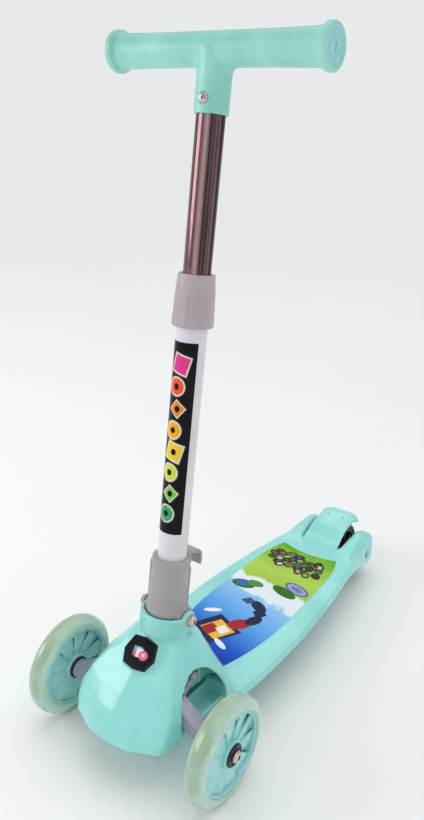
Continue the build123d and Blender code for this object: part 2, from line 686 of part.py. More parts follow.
def light_ring():
    boss = BEARING_R + 3.5
    band = ring(LIGHT_RING_R, boss + SEAT, 1.2 + SEAT, 4.4)
    return along_x(Pos(0, 0, TRACK / 2) * band, 0, AXLE_Z)


def bearing():
    body = ring(BEARING_R, AXLE_R + RUN, 0, BEARING_W)
    for low, high in ((-1, 0.5), (BEARING_W - 0.5, BEARING_W + 1)):
        body -= ring(BEARING_R - 1.8, AXLE_R + 2.2, low, high)
    return body


def bearing_pair(hub_width, middle, y, z):
    pair = []
    for low in (middle - hub_width / 2, middle + hub_width / 2 - BEARING_W):
        pair.append(along_x(Pos(0, 0, low) * bearing(), y, z))
    return pair


def bearing_spacer(hub_width, middle, y, z):
    half = hub_width / 2 - BEARING_W
    return along_x(Pos(0, 0, middle) * ring(SPACER_R, AXLE_R + RUN, -half, half), y, z)


def front_axle_bolt():
    seat = OUTER_CAP_X + CAP_T
    inner = INNER_CAP_X - HUB_BOSS_L - 5
    return along_x(Pos(0, 0, seat) * button_screw(AXLE_R, seat - inner, 6.8, AXLE_HEAD_T, 5), 0, AXLE_Z)


def front_axle_nut():
    high = INNER_CAP_X - HUB_BOSS_L + 4
    return along_x(nut(13, AXLE_R + SEAT, high - 7.5, high), 0, AXLE_Z)


def cap_washers():
    caps = []
    for low, face in ((OUTER_CAP_X, 1), (INNER_CAP_X, -1)):
        cap = ring(CAP_R, AXLE_R + SEAT, low, low + CAP_T)
        rim = low + CAP_T if face > 0 else low
        cap = chamfer(cap.edges().filter_by(GeomType.CIRCLE).filter_by(
            lambda e: abs(e.center().Z - rim) < 0.01 and e.radius > CAP_R - 0.1), 0.8)
        caps.append(along_x(cap, 0, AXLE_Z))
    return caps


def rear_tyre():
    return along_x(tyre_solid(REAR_R, REAR_RIM_R + SEAT, REAR_W, 6), REAR_AXLE_Y, REAR_AXLE_Z)


def rear_hub():
    half = REAR_HUB_W / 2
    boss = BEARING_R + 3.5
    hub = ring(REAR_RIM_R, REAR_RIM_R - 3, -REAR_W / 2 + 1.5, REAR_W / 2 - 1.5)
    hub += bearing_seats(REAR_HUB_W, boss)
    for turn in range(6):
        hub += Rot(0, 0, turn * 60) * slab((boss - 1, REAR_RIM_R - 1.5), (-1.6, 1.6), (-half + 5, half - 5))
    hub += ring(REAR_RIM_R - 1, boss - 1, -1.5, 1.5)
    return along_x(hub, REAR_AXLE_Y, REAR_AXLE_Z)


def rear_axle():
    seat = LOBE_OUTER_X - RECESS_T
    return along_x(Pos(0, 0, seat) * button_screw(AXLE_R, 2 * seat + 7, 6.8, AXLE_HEAD_T, 5),
                   REAR_AXLE_Y, REAR_AXLE_Z)


def rear_axle_nut():
    seat = LOBE_OUTER_X - RECESS_T
    return along_x(nut(13, AXLE_R + SEAT, -seat - 7, -seat), REAR_AXLE_Y, REAR_AXLE_Z)


def rear_spacers():
    piece = along_x(ring(7, AXLE_R + SEAT, REAR_HUB_W / 2 + FREE, LOBE_INNER_X), REAR_AXLE_Y, REAR_AXLE_Z)
    return both_sides(piece)


# ---------------------------------------------------------------- deck, print and brake
# Half widths of the deck, as (y, share of the full half width).


def deck_outline(drop, front, rear):
    """Closed plan outline of the deck, drop inside its widest line, between two y values."""
    left = [(DECK_HALF_WIDTH * share - drop, y) for y, share in DECK_SIDE]
    left[0] = (left[0][0], front)
    left[-1] = (left[-1][0], rear)
    right = [(-x, y) for x, y in reversed(left)]
    outline = Spline(*left) + Line(left[-1], right[0]) + Spline(*right) + Line(right[-1], left[0])
    return make_face(outline)


def tray(levels, front, rear):
    body = None
    for (low, low_drop), (high, high_drop) in zip(levels, levels[1:]):
        sections = [Pos(0, 0, low) * deck_outline(low_drop, front, rear),
                    Pos(0, 0, high) * deck_outline(high_drop, front, rear)]
        part = loft(sections, ruled=True)
        body = part if body is None else body + part
    return body


def lobe_side():
    """Side outline of the fork beside the rear wheel, in Y and Z."""
    y, z, tail = REAR_AXLE_Y, REAR_AXLE_Z, TAIL_Y
    crown = DECK_TOP_Z + LOBE_RISE
    outline = Spline((y - 84, DECK_TOP_Z - 4), (y - 40, crown - 7), (y - 2, crown))
    outline += ThreePointArc((y - 2, crown), (y + 27, crown - 12), (tail, z + 5))
    outline += ThreePointArc((tail, z + 5), (y + 26, z - 13), (y + 2, z - 16))
    outline += Polyline((y + 2, z - 16), (y - 34, z - 5), (y - 84, DECK_BOTTOM_Z), (y - 84, DECK_TOP_Z - 4))
    return make_face(outline)


def lobe():
    block = extrude(Plane.YZ * lobe_side(), 80)
    front = REAR_AXLE_Y - 84
    plan = Polyline((LOBE_INNER_X - 3, front - 10), (LOBE_INNER_X - 3, DECK_REAR_Y),
                    (LOBE_INNER_X, WELL_CORNER_Y), (LOBE_INNER_X, TAIL_Y + 2), (LOBE_OUTER_X - 13, TAIL_Y + 2), (LOBE_OUTER_X - 4, TAIL_Y - 8),
                    (LOBE_OUTER_X, TAIL_Y - 20), (LOBE_OUTER_X + 1, REAR_AXLE_Y), (LOBE_OUTER_X + 6, REAR_AXLE_Y - 34),
                    (LOBE_OUTER_X + 10, front - 10), close=True)
    block &= Pos(0, 0, -1) * extrude(make_face(plan), 120)
    crown = DECK_TOP_Z + LOBE_RISE
    for start, angle in ((LOBE_OUTER_X - 15, 28), (LOBE_OUTER_X - 6, 58)):
        drop = 0 if angle < 40 else 5.5
        block -= Pos(start, 0, crown - drop) * Rot(0, angle, 0) * slab((-60, 90), (front - 90, TAIL_Y + 86), (0, 60))
    return block


def cross_ribs():
    ribs = []
    y = DECK_FRONT_Y + 36
    while y < DECK_REAR_Y - 20:
        ribs.append(slab((-100, 100), (y - RIB_T / 2, y + RIB_T / 2), (DECK_BOTTOM_Z + 3, DECK_TOP_Z - 1)))
        y += 44
    for x in (-26, 26):
        ribs.append(slab((x - RIB_T / 2, x + RIB_T / 2), (DECK_FRONT_Y + 1, DECK_REAR_Y - 1),
                         (DECK_BOTTOM_Z + 3, DECK_TOP_Z - 1)))
    return ribs


def deck():
    rear = DECK_REAR_Y + WALL
    outer = tray([(DECK_BOTTOM_Z, 9), (DECK_EDGE_Z - 9, 1), (DECK_EDGE_Z, 0), (DECK_EDGE_Z + 3, 1.5),
                  (DECK_TOP_Z, 23)],
                 DECK_FRONT_Y, rear)
    inner = tray([(DECK_BOTTOM_Z - 0.1, 9 + WALL), (DECK_EDGE_Z - 9, 1 + WALL), (DECK_EDGE_Z, WALL),
                  (DECK_TOP_Z - WALL, 23)],
                 DECK_FRONT_Y + WALL, DECK_REAR_Y)
    shell = outer - inner
    for rib in cross_ribs():
        shell += rib & inner
    for piece in both_sides(lobe()):
        shell += piece
    pocket = slab((LOBE_INNER_X + 4, LOBE_OUTER_X - 4), (REAR_AXLE_Y - 56, REAR_AXLE_Y - 20),
                  (0, DECK_TOP_Z + 1))
    for cut in both_sides(pocket):
        shell -= cut
    well = make_face(Polyline((-LOBE_INNER_X + 3, DECK_REAR_Y), (LOBE_INNER_X - 3, DECK_REAR_Y),
                              (LOBE_INNER_X, WELL_CORNER_Y), (LOBE_INNER_X, TAIL_Y + 9), (-LOBE_INNER_X, TAIL_Y + 9),
                              (-LOBE_INNER_X, WELL_CORNER_Y), close=True))
    shell -= extrude(well, 200)
    shell += slab((-TONGUE_HALF_WIDTH, TONGUE_HALF_WIDTH), (-34, DECK_FRONT_Y + 1),
                  (TONGUE_BOTTOM_Z, TONGUE_TOP_Z))
    shell += slab((-FLOOR_HALF_WIDTH, FLOOR_HALF_WIDTH), (-6, DECK_FRONT_Y + 1),
                  (TONGUE_BOTTOM_Z, TONGUE_TOP_Z))
    for x in (-TONGUE_HALF_WIDTH + 1.5, TONGUE_HALF_WIDTH - 1.5):
        shell += slab((x - 1.5, x + 1.5), (30, DECK_FRONT_Y + 1), (TONGUE_BOTTOM_Z, DECK_TOP_Z - 2))
    for x, y in HOUSING_SCREWS + BRIDGE_SCREWS:
        shell -= Pos(x, y, 0) * rod(SCREW_R + SEAT, 30, 80)
    shell -= along_x(rod(AXLE_R + SEAT, -70, 70), REAR_AXLE_Y, REAR_AXLE_Z)
    seat = LOBE_OUTER_X - RECESS_T
    for recess in both_sides(along_x(rod(8.4, seat, seat + 20), REAR_AXLE_Y, REAR_AXLE_Z)):
        shell -= recess
    shell -= Pos(0, 0, DECK_TOP_Z - PRINT_T + PRINT_PROUD) * extrude(print_face(0.1), 3)
    return shell


def print_face(grow):
    left = [(x + grow, y) for y, x in PRINT_SIDE]
    left[0] = (left[0][0], left[0][1] - grow)
    left[-1] = (left[-1][0], left[-1][1] + grow)
    right = [(-x, y) for x, y in reversed(left)]
    front_y, rear_y = left[0][1], left[-1][1]
    outline = Spline(*left) + ThreePointArc(left[-1], (0, rear_y - 9), right[0]) + Spline(*right)
    outline += ThreePointArc(right[-1], (0, front_y + 1.5), left[0])
    return make_face(outline)


def deck_print():
    return Pos(0, 0, DECK_TOP_Z - PRINT_T + PRINT_PROUD) * extrude(print_face(0), PRINT_T)


def brake_top():
    """Top line of the brake flap, from its hinge over the wheel to its tail."""
    y, top = REAR_AXLE_Y, REAR_AXLE_Z + REAR_R
    return [(BRAKE_HINGE_Y, DECK_TOP_Z), (y - 38, DECK_TOP_Z + 8), (y - 22, top + 5.5), (y - 4, top + 11),
            (y + 10, top + 13.5), (y + 22, top + 12.5), (y + 31, top + 8), (y + 37, top + 1)]


def rear_brake():
    line = brake_top()
    under = [(max(y - TONGUE_T * 0.2, BRAKE_HINGE_Y), z - TONGUE_T) for y, z in line]
    under[-1] = (line[-1][0] - 2.5, line[-1][1] - 0.5)
    profile = make_face(Polyline(*(line + under[::-1]), close=True))
    flap = extrude(Plane.YZ * profile, 40, both=True)
    edge = LOBE_INNER_X - 3 - 0.5
    wing = LOBE_INNER_X - 1.5
    y = REAR_AXLE_Y
    half = [(edge, BRAKE_HINGE_Y - 1), (edge - 2.5, y - 10), (edge - 2, y + 6), (wing, y + 16),
            (wing - 1, y + 23), (wing - 6, y + 31), (wing - 16, y + 37)]
    plan = half + [(-x, v) for x, v in reversed(half)]
    flap &= extrude(make_face(Polyline(*plan, close=True)), 200)
    for x, dy in BRAKE_SCREWS:
        post = Pos(x, y + dy, REAR_AXLE_Z + REAR_R + BRAKE_GAP + PLATE_STEEL) * rod(4.5, 0, 8)
        flap += post & extrude(Plane.YZ * make_face(Polyline(*(line + [(y + 38, 60), (y - 60, 60)]), close=True)),
                               40, both=True)
        flap -= Pos(x, y + dy, 0) * rod(SCREW_R * 0.6 + SEAT, 60, REAR_AXLE_Z + REAR_R + BRAKE_GAP + 8)
    return flap


def brake_plate():
    inner = REAR_R + BRAKE_GAP
    band = along_x(ring(inner + PLATE_STEEL, inner, -20, 20), REAR_AXLE_Y, REAR_AXLE_Z)
    plate = band & slab((-30, 30), (REAR_AXLE_Y - 22, REAR_AXLE_Y + 14), (REAR_AXLE_Z, REAR_AXLE_Z + 90))
    for x, dy in BRAKE_SCREWS:
        plate -= Pos(x, REAR_AXLE_Y + dy, 0) * rod(SCREW_R * 0.6 + SEAT, 60, 120)
    return plate


def brake_screws():
    seat = REAR_AXLE_Z + REAR_R + BRAKE_GAP - 0.12
    return [Pos(x, REAR_AXLE_Y + dy, seat) * Rot(180, 0, 0) *
            (rod(2.6, 0, 0.7) + rod(SCREW_R * 0.6, -7, 0)) for x, dy in BRAKE_SCREWS]


# ---------------------------------------------------------------- everything, by node name
def all_nodes():
    nodes = {
        "handlebar": handlebar(),
        "handlebar_screw": handlebar_screw(),
        "upper_tube": upper_tube(),
        "upper_tube_bush": upper_tube_bush(),
        "height_collar": height_collar(),
        "collet_sleeve": collet_sleeve(),
        "lower_tube": lower_tube(),
        "stem_label": stem_label(),
        "stem_sleeve": stem_sleeve(),
        "sleeve_screw": sleeve_screw(),
        "fold_latch": fold_latch(),
        "fold_bolt": fold_bolt(),
        "fold_nut": fold_nut(),
        "fold_bushes": fold_bushes(),
        "front_housing": front_housing(),
        "badge": badge(),
        "housing_screws": housing_screws(),
        "kingpin_bridge": kingpin_bridge(),
        "bridge_screws": bridge_screws(),
        "tie_rod": tie_rod(),
        "deck": deck(),
        "deck_print": deck_print(),
        "rear_tyre": rear_tyre(),
        "rear_hub": rear_hub(),
        "rear_bearings": bearing_pair(REAR_HUB_W, 0, REAR_AXLE_Y, REAR_AXLE_Z),
        "rear_bearing_spacer": bearing_spacer(REAR_HUB_W, 0, REAR_AXLE_Y, REAR_AXLE_Z),
        "rear_spacers": rear_spacers(),
        "rear_axle": rear_axle(),
        "rear_axle_nut": rear_axle_nut(),
        "rear_brake": rear_brake(),
        "brake_plate": brake_plate(),
        "brake_screws": brake_screws(),
    }
    nodes["kingpin_nuts"] = both_sides(kingpin_nut())
    left = {
        "end_plug": end_plug(),
        "kingpin": kingpin(),
        "steering_arm": steering_arm(),
        "torsion_spring": torsion_spring(),
        "tie_pin": tie_pin(),
        "front_tyre": front_tyre(),
        "front_hub": front_hub(),
        "light_ring": light_ring(),
        "front_bearings": bearing_pair(HUB_W, TRACK / 2, 0, AXLE_Z),
        "front_bearing_spacer": bearing_spacer(HUB_W, TRACK / 2, 0, AXLE_Z),
        "axle_bolt": front_axle_bolt(),
        "axle_nut": front_axle_nut(),
        "axle_caps": cap_washers(),
    }
    for name, shape in left.items():
        nodes[name + "_left"] = shape
        pieces = shape if isinstance(shape, list) else [shape]
        nodes[name + "_right"] = [mirror(piece, about=Plane.YZ) for piece in pieces]
    return nodes


def write_nodes():
    os.makedirs("parts", exist_ok=True)
    for name, shape in all_nodes().items():
        solids = []
        for piece in shape if isinstance(shape, list) else [shape]:
            solids.extend((Pos(0, ROW_SHIFT_Y, 0) * piece).solids())
        export_step(solids[0] if len(solids) == 1 else Compound(children=solids), "parts/" + name + ".step")
        print(name, len(solids), round(sum(solid.volume for solid in solids)))


write_nodes()
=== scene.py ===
# %% [markdown]
# # A child's folding kick scooter
# This lesson dresses a finished mechanical model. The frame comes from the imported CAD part: every tube,
# bolt, wheel and hinge is already at its true place and size, so nothing is fitted by eye. What is added
# here is what moulds, paint shops and printers add: soft edges, cast tyres, printed film and plating.

# %% Load the frame
import json
import math

import bpy
from mathutils import Matrix, Vector


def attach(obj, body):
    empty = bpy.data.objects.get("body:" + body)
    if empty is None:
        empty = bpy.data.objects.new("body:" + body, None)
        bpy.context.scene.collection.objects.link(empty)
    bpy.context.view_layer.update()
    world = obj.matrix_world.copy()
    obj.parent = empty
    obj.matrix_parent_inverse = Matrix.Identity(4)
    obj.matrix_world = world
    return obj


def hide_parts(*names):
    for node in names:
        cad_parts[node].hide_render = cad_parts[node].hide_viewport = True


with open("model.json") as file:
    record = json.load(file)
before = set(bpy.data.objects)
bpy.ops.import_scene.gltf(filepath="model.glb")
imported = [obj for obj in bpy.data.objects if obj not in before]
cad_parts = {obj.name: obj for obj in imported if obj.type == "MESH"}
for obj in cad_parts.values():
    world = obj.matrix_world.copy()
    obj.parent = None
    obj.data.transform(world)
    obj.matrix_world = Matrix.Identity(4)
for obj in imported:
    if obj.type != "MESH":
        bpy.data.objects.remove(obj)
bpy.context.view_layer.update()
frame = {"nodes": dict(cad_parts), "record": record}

slot_of_node = {row["node"]: row["material_slot"] for row in frame["record"]["subparts"]}

# %% [markdown]
# ## Measures
# The steering column leans back a little, so it gets its own frame: Z runs up the column from the base
# point. Everything on the column is drawn upright round the Z axis and then placed with one matrix.
# Wheels are drawn the same way, upright, and laid over onto their axles.

# %% Frames for the column and the wheels
MM = 0.001
LEAN = math.radians(6.2)
COLUMN_BASE = Vector((0, -185, 140)) * MM
COLUMN = Matrix.Translation(COLUMN_BASE) @ Matrix.Rotation(-LEAN, 4, "X")
COLUMN_LENGTH = 593
TRACK_HALF, FRONT_AXLE_Y, FRONT_AXLE_Z = 111, -226, 60
REAR_AXLE_Y, REAR_AXLE_Z = 248, 40
SIDES = (("left", 1), ("right", -1))
ROUND_STEPS, TYRE_STEPS, FILM_STEPS = 112, 144, 56


def on_axle(x, y, z, flip=1):
    """Matrix that lays a piece drawn round Z onto an axle along X; flip -1 faces it the other way."""
    turn = Matrix.Rotation(math.radians(90 * flip), 4, "Y")
    return Matrix.Translation(Vector((x, y, z)) * MM) @ turn


print("column top", [round(v, 4) for v in COLUMN @ Vector((0, 0, COLUMN_LENGTH * MM))])

# %% [markdown]
# ## Modelling helpers
# Two habits cover most of the work. A turned piece is a profile drawn point by point and spun. A moulded
# shell starts from a copy of the CAD solid, is remeshed into even small faces, and its edges are then
# relaxed, which gives the soft radii that a real mould has and a CAD solid lacks.

# %% Selecting and placing


def only(piece):
    """Make one piece the active and only selected object."""
    bpy.ops.object.select_all(action="DESELECT")
    piece.hide_set(False)
    piece.select_set(True)
    bpy.context.view_layer.objects.active = piece


def place(piece, matrix):
    """Move a piece drawn at the origin to its place, and keep the object itself at the origin."""
    only(piece)
    piece.matrix_world = matrix
    bpy.ops.object.transform_apply(location=True, rotation=True, scale=True)


def in_edit(piece, *steps):
    """Run edit mode steps on the whole of a piece."""
    only(piece)
    bpy.ops.object.mode_set(mode="EDIT")
    bpy.ops.mesh.select_all(action="SELECT")
    for step in steps:
        step()
    bpy.ops.object.mode_set(mode="OBJECT")


def in_edit_selected(piece, step):
    """Run one edit mode step on what is already selected."""
    only(piece)
    bpy.ops.object.mode_set(mode="EDIT")
    step()
    bpy.ops.object.mode_set(mode="OBJECT")


def select_everything():
    bpy.ops.mesh.select_all(action="SELECT")


def weld():
    bpy.ops.mesh.remove_doubles(threshold=0.000004)


def outward():
    bpy.ops.mesh.normals_make_consistent(inside=False)


def finish_mesh(piece, kind, **settings):
    """Add a modifier and apply it at once."""
    only(piece)
    modifier = piece.modifiers.new(kind.title(), kind)
    for setting, value in settings.items():
        setattr(modifier, setting, value)
    bpy.ops.object.modifier_apply(modifier=modifier.name)


def smooth_by(piece, degrees=40):
    """Shade a piece smooth, except where its faces meet at more than so many degrees."""
    only(piece)
    bpy.ops.object.shade_smooth_by_angle(angle=math.radians(degrees))


# %% Drawing a line and turning it


def trace(name, points):
    """Draw a chain of vertices: one vertex, extruded from point to point (millimetres)."""
    bpy.ops.object.select_all(action="DESELECT")
    bpy.ops.mesh.primitive_plane_add(size=MM, location=(0, 0, 0))
    piece = bpy.context.object
    piece.name = name
    spots = [Vector(point) * MM for point in points]
    bpy.ops.object.mode_set(mode="EDIT")
    bpy.ops.mesh.select_all(action="SELECT")
    bpy.ops.mesh.merge(type="CENTER")
    bpy.ops.transform.translate(value=spots[0])
    for here, there in zip(spots, spots[1:]):
        bpy.ops.mesh.extrude_vertices_move(TRANSFORM_OT_translate={"value": there - here})
    bpy.ops.object.mode_set(mode="OBJECT")
    return piece


def lathe(name, profile, steps=96, sweep=360.0, start=0.0):
    """Spin a profile of (radius, height) pairs round Z. A closed profile repeats its first pair."""
    across = Vector((math.cos(math.radians(start)), math.sin(math.radians(start)), 0))
    piece = trace(name, [across * radius + Vector((0, 0, height)) for radius, height in profile])
    turn = {"steps": steps, "angle": math.radians(sweep), "center": (0, 0, 0), "axis": (0, 0, 1)}
    in_edit(piece, lambda: bpy.ops.mesh.spin(**turn), select_everything, weld, outward)
    return piece


def joined(name, *pieces):
    bpy.ops.object.select_all(action="DESELECT")
    for piece in pieces:
        piece.select_set(True)
    bpy.context.view_layer.objects.active = pieces[0]
    bpy.ops.object.join()
    pieces[0].name = name
    return pieces[0]


# %% Softening a moulded shell


def soften(name, node, voxel, passes):
    """Copy a CAD node, remesh it into even faces and relax its edges."""
    source = frame["nodes"][node]
    piece = source.copy()
    piece.data = source.data.copy()
    for key in list(piece.keys()):
        del piece[key]
    piece.parent = None
    piece.name = name
    piece.data.materials.clear()
    bpy.context.scene.collection.objects.link(piece)
    in_edit(piece, weld)
    finish_mesh(piece, "REMESH", mode="VOXEL", voxel_size=voxel * MM)
    finish_mesh(piece, "SMOOTH", factor=0.5, iterations=passes)
    only(piece)
    bpy.ops.object.shade_smooth()
    print(name, len(piece.data.polygons), "faces")
    return piece


def relax(piece, wanted, passes):
    """Relax only the vertices that a test on their place (millimetres) picks out."""
    in_edit(piece, lambda: bpy.ops.mesh.select_all(action="DESELECT"))
    for vertex in piece.data.vertices:
        vertex.select = wanted(vertex.co / MM)
    in_edit_selected(piece, lambda: bpy.ops.mesh.vertices_smooth(factor=0.5, repeat=passes))


def settle(piece, body, slot, paint, *nodes):
    """Give a finished piece its paint and its body, and hide the CAD nodes it stands for. The slot is not
    used.
    """
    piece.data.materials.clear()
    piece.data.materials.append(paint)
    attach(piece, body)
    if nodes:
        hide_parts(*nodes)
    return piece


print("helpers ready")

# %% [markdown]
# ## Finishes
# Every finish is built from the same three layers: a slow noise that shifts the colour a little, a finer
# one that makes the gloss uneven where hands and dust have been, and a very fine bump for the grain of
# the mould, the cast or the ground metal. Only the numbers change from one finish to the next.

# %% Node helpers


def node(tree, kind, **settings):
    made = tree.nodes.new(kind)
    for setting, value in settings.items():
        setattr(made, setting, value)
    return made


def blank(name, **sockets):
    made = bpy.data.materials.new(name)
    made.use_nodes = True
    shader = made.node_tree.nodes["Principled BSDF"]
    for socket, value in sockets.items():
        shader.inputs[socket.replace("_", " ")].default_value = value
    return made, made.node_tree, shader


def object_place(tree, stretch=(1, 1, 1), turn=(0, 0, 0), shift=(0, 0, 0), kind="POINT"):
    """The piece's own coordinates in metres, moved, turned and stretched."""
    source = node(tree, "ShaderNodeTexCoord")
    mapping = node(tree, "ShaderNodeMapping", vector_type=kind)
    mapping.inputs["Scale"].default_value = stretch
    mapping.inputs["Rotation"].default_value = turn
    mapping.inputs["Location"].default_value = shift
    tree.links.new(source.outputs["Object"], mapping.inputs["Vector"])
    return mapping.outputs["Vector"]


def on_column(tree, stretch=(1, 1, 1)):
    """The place measured from the foot of the column, with Z up along it."""
    return object_place(tree, stretch, (-LEAN, 0, 0), COLUMN_BASE, "TEXTURE")


def axes(tree, where):
    """The X, Y and Z of a place, as three values."""
    split = node(tree, "ShaderNodeSeparateXYZ")
    tree.links.new(where, split.inputs["Vector"])
    return split.outputs


def noise(tree, where, scale, detail=3.0, roughness=0.55):
    made = node(tree, "ShaderNodeTexNoise")
    made.inputs["Scale"].default_value = scale
    made.inputs["Detail"].default_value = detail
    made.inputs["Roughness"].default_value = roughness
    tree.links.new(where, made.inputs["Vector"])
    return made.outputs["Fac"]


def ramp(tree, factor, stops):
    made = node(tree, "ShaderNodeValToRGB")
    elements = made.color_ramp.elements
    while len(elements) < len(stops):
        elements.new(0.5)
    for element, (position, colour) in zip(elements, stops):
        element.position = position
        element.color = (*colour, 1)
    tree.links.new(factor, made.inputs["Fac"])
    return made.outputs["Color"]


def remap(tree, value, low, high, new_low, new_high):
    made = node(tree, "ShaderNodeMapRange")
    for socket, number in zip(("From Min", "From Max", "To Min", "To Max"), (low, high, new_low, new_high)):
        made.inputs[socket].default_value = number
    tree.links.new(value, made.inputs["Value"])
    return made.outputs["Result"]


def maths(tree, operation, *values):
    made = node(tree, "ShaderNodeMath", operation=operation)
    for socket, value in zip(made.inputs, values):
        if isinstance(value, (int, float)):
            socket.default_value = value
        else:
            tree.links.new(value, socket)
    return made.outputs["Value"]


def weighed(tree, first, share, second, second_share):
    """The sum of two values, each times its own share."""
    return maths(tree, "ADD", maths(tree, "MULTIPLY", first, share),
                 maths(tree, "MULTIPLY", second, second_share))


# The colour sockets of a mix node share their names with its number sockets, so they go by place.
COLOUR_A, COLOUR_B, COLOUR_OUT = 6, 7, 2


def mix(tree, factor, under, over):
    """Blend two colours, given as tuples or as sockets."""
    made = node(tree, "ShaderNodeMix", data_type="RGBA")
    tree.links.new(factor, made.inputs["Factor"])
    for place_in, colour in ((COLOUR_A, under), (COLOUR_B, over)):
        socket = made.inputs[place_in]
        if isinstance(colour, tuple):
            socket.default_value = (*colour, 1)
        else:
            tree.links.new(colour, socket)
    return made.outputs[COLOUR_OUT]


def uneven_gloss(tree, shader, where, scale, detail, smooth, rough):
    """Let the roughness wander between two values."""
    wander = remap(tree, noise(tree, where, scale, detail), 0.3, 0.7, smooth, rough)
    tree.links.new(wander, shader.inputs["Roughness"])


def bump(tree, shader, height, strength, distance=0.0004):
    made = node(tree, "ShaderNodeBump")
    made.inputs["Strength"].default_value = strength
    made.inputs["Distance"].default_value = distance
    tree.links.new(height, made.inputs["Height"])
    tree.links.new(made.outputs["Normal"], shader.inputs["Normal"])


def painted_edge_highlight(tree, colour, highlight_colour, low=0.52, high=0.60, amount=0.5):
    """Blend towards a lighter colour on raised edges, broken up by noise: a painted edge highlight."""
    edges = node(tree, "ShaderNodeNewGeometry").outputs["Pointiness"]
    broken = noise(tree, object_place(tree), 140, 4)
    mask = maths(tree, "MULTIPLY", remap(tree, edges, low, high, 0, amount), broken)
    return mix(tree, mask, colour, highlight_colour)


# %% One recipe for plastics, paints and metals


def surface(name, dark, light, rough, blotch=14, grain=900, depth=0.08, edge_highlight=None, **sockets):
    """A mottled finish between two colours, with uneven gloss, a fine grain and, if asked, a painted
    highlight on raised edges.
    """
    made, tree, shader = blank(name, **sockets)
    where = object_place(tree)
    colour = ramp(tree, noise(tree, where, blotch), [(0.3, dark), (0.7, light)])
    if edge_highlight:
        colour = painted_edge_highlight(tree, colour, edge_highlight)
    tree.links.new(colour, shader.inputs["Base Color"])
    uneven_gloss(tree, shader, where, blotch * 5, 5, *rough)
    bump(tree, shader, noise(tree, where, grain, 2), depth, 0.0002)
    return made


# The third mint is the lighter colour of the painted highlight on raised edges.
MINT_DARK, MINT_LIGHT, MINT_HIGHLIGHT = (0.25, 0.69, 0.64), (0.34, 0.82, 0.77), (0.64, 0.94, 0.91)
paints = {
    "mint_plastic": surface("mint_plastic", MINT_DARK, MINT_LIGHT, (0.20, 0.32), edge_highlight=MINT_HIGHLIGHT,
                            Coat_Weight=0.35, Coat_Roughness=0.12),
    "hub_plastic": surface("hub_plastic", (0.25, 0.66, 0.62), (0.38, 0.78, 0.76), (0.22, 0.36), blotch=40,
                           edge_highlight=MINT_HIGHLIGHT, Coat_Weight=0.3),
    "grey_plastic": surface("grey_plastic", (0.35, 0.32, 0.32), (0.43, 0.40, 0.395), (0.34, 0.48),
                            edge_highlight=(0.62, 0.59, 0.59), depth=0.12),
    "collar_plastic": surface("collar_plastic", (0.40, 0.335, 0.37), (0.50, 0.43, 0.46), (0.36, 0.50),
                              edge_highlight=(0.70, 0.68, 0.70), depth=0.12),
    "bush_plastic": surface("bush_plastic", (0.42, 0.36, 0.36), (0.52, 0.46, 0.46), (0.30, 0.45),
                            blotch=60),
    "white_paint": surface("white_paint", (0.70, 0.67, 0.72), (0.79, 0.77, 0.82), (0.26, 0.38), grain=1400,
                           depth=0.10, Coat_Weight=0.2),
    "black_tyre": surface("black_tyre", (0.008, 0.008, 0.009), (0.02, 0.02, 0.022), (0.45, 0.6), depth=0.2),
    "black_hub": surface("black_hub", (0.012, 0.012, 0.013), (0.03, 0.03, 0.03), (0.35, 0.5)),
    "light_plastic": surface("light_plastic", (0.55, 0.66, 0.64), (0.72, 0.80, 0.78), (0.2, 0.3), blotch=50,
                             Subsurface_Weight=0.2),
    "alloy": surface("alloy", (0.33, 0.31, 0.40), (0.45, 0.42, 0.50), (0.34, 0.46), blotch=30, grain=500,
                     edge_highlight=(0.65, 0.62, 0.68), Metallic=0.25),
    # The bridge inside the housing is painted a dark teal: painted shade for the dim inside of the housing.
    "bridge_plastic": surface("bridge_plastic", (0.02, 0.16, 0.12), (0.05, 0.24, 0.19), (0.3, 0.5)),
    "zinc_steel": surface("zinc_steel", (0.38, 0.37, 0.35), (0.60, 0.58, 0.54), (0.26, 0.42), blotch=120,
                          Metallic=1.0),
    "bolt_steel": surface("bolt_steel", (0.50, 0.40, 0.41), (0.74, 0.64, 0.64), (0.16, 0.30), blotch=160,
                          Metallic=1.0),
    "black_cap": surface("black_cap", (0.006, 0.006, 0.007), (0.014, 0.014, 0.015), (0.28, 0.42), blotch=80,
                         edge_highlight=(0.10, 0.10, 0.10), Specular_IOR_Level=0.25),
    "plug_plastic": surface("plug_plastic", (0.17, 0.52, 0.56), (0.21, 0.60, 0.64), (0.30, 0.44), blotch=50,
                            edge_highlight=MINT_HIGHLIGHT),
    "bearing_steel": surface("bearing_steel", (0.34, 0.34, 0.35), (0.52, 0.52, 0.53), (0.2, 0.35),
                             Metallic=1.0),
    "spring_steel": surface("spring_steel", (0.14, 0.14, 0.15), (0.26, 0.26, 0.27), (0.3, 0.45),
                            Metallic=1.0),
}
print(len(paints), "plain finishes")

# %% [markdown]
# ## Grip grain
# The bar is one moulding. Its two grips carry a coarse mottled grain and the middle stays smooth, so the
# bump is faded in by the distance from the middle, which is simply the X coordinate.

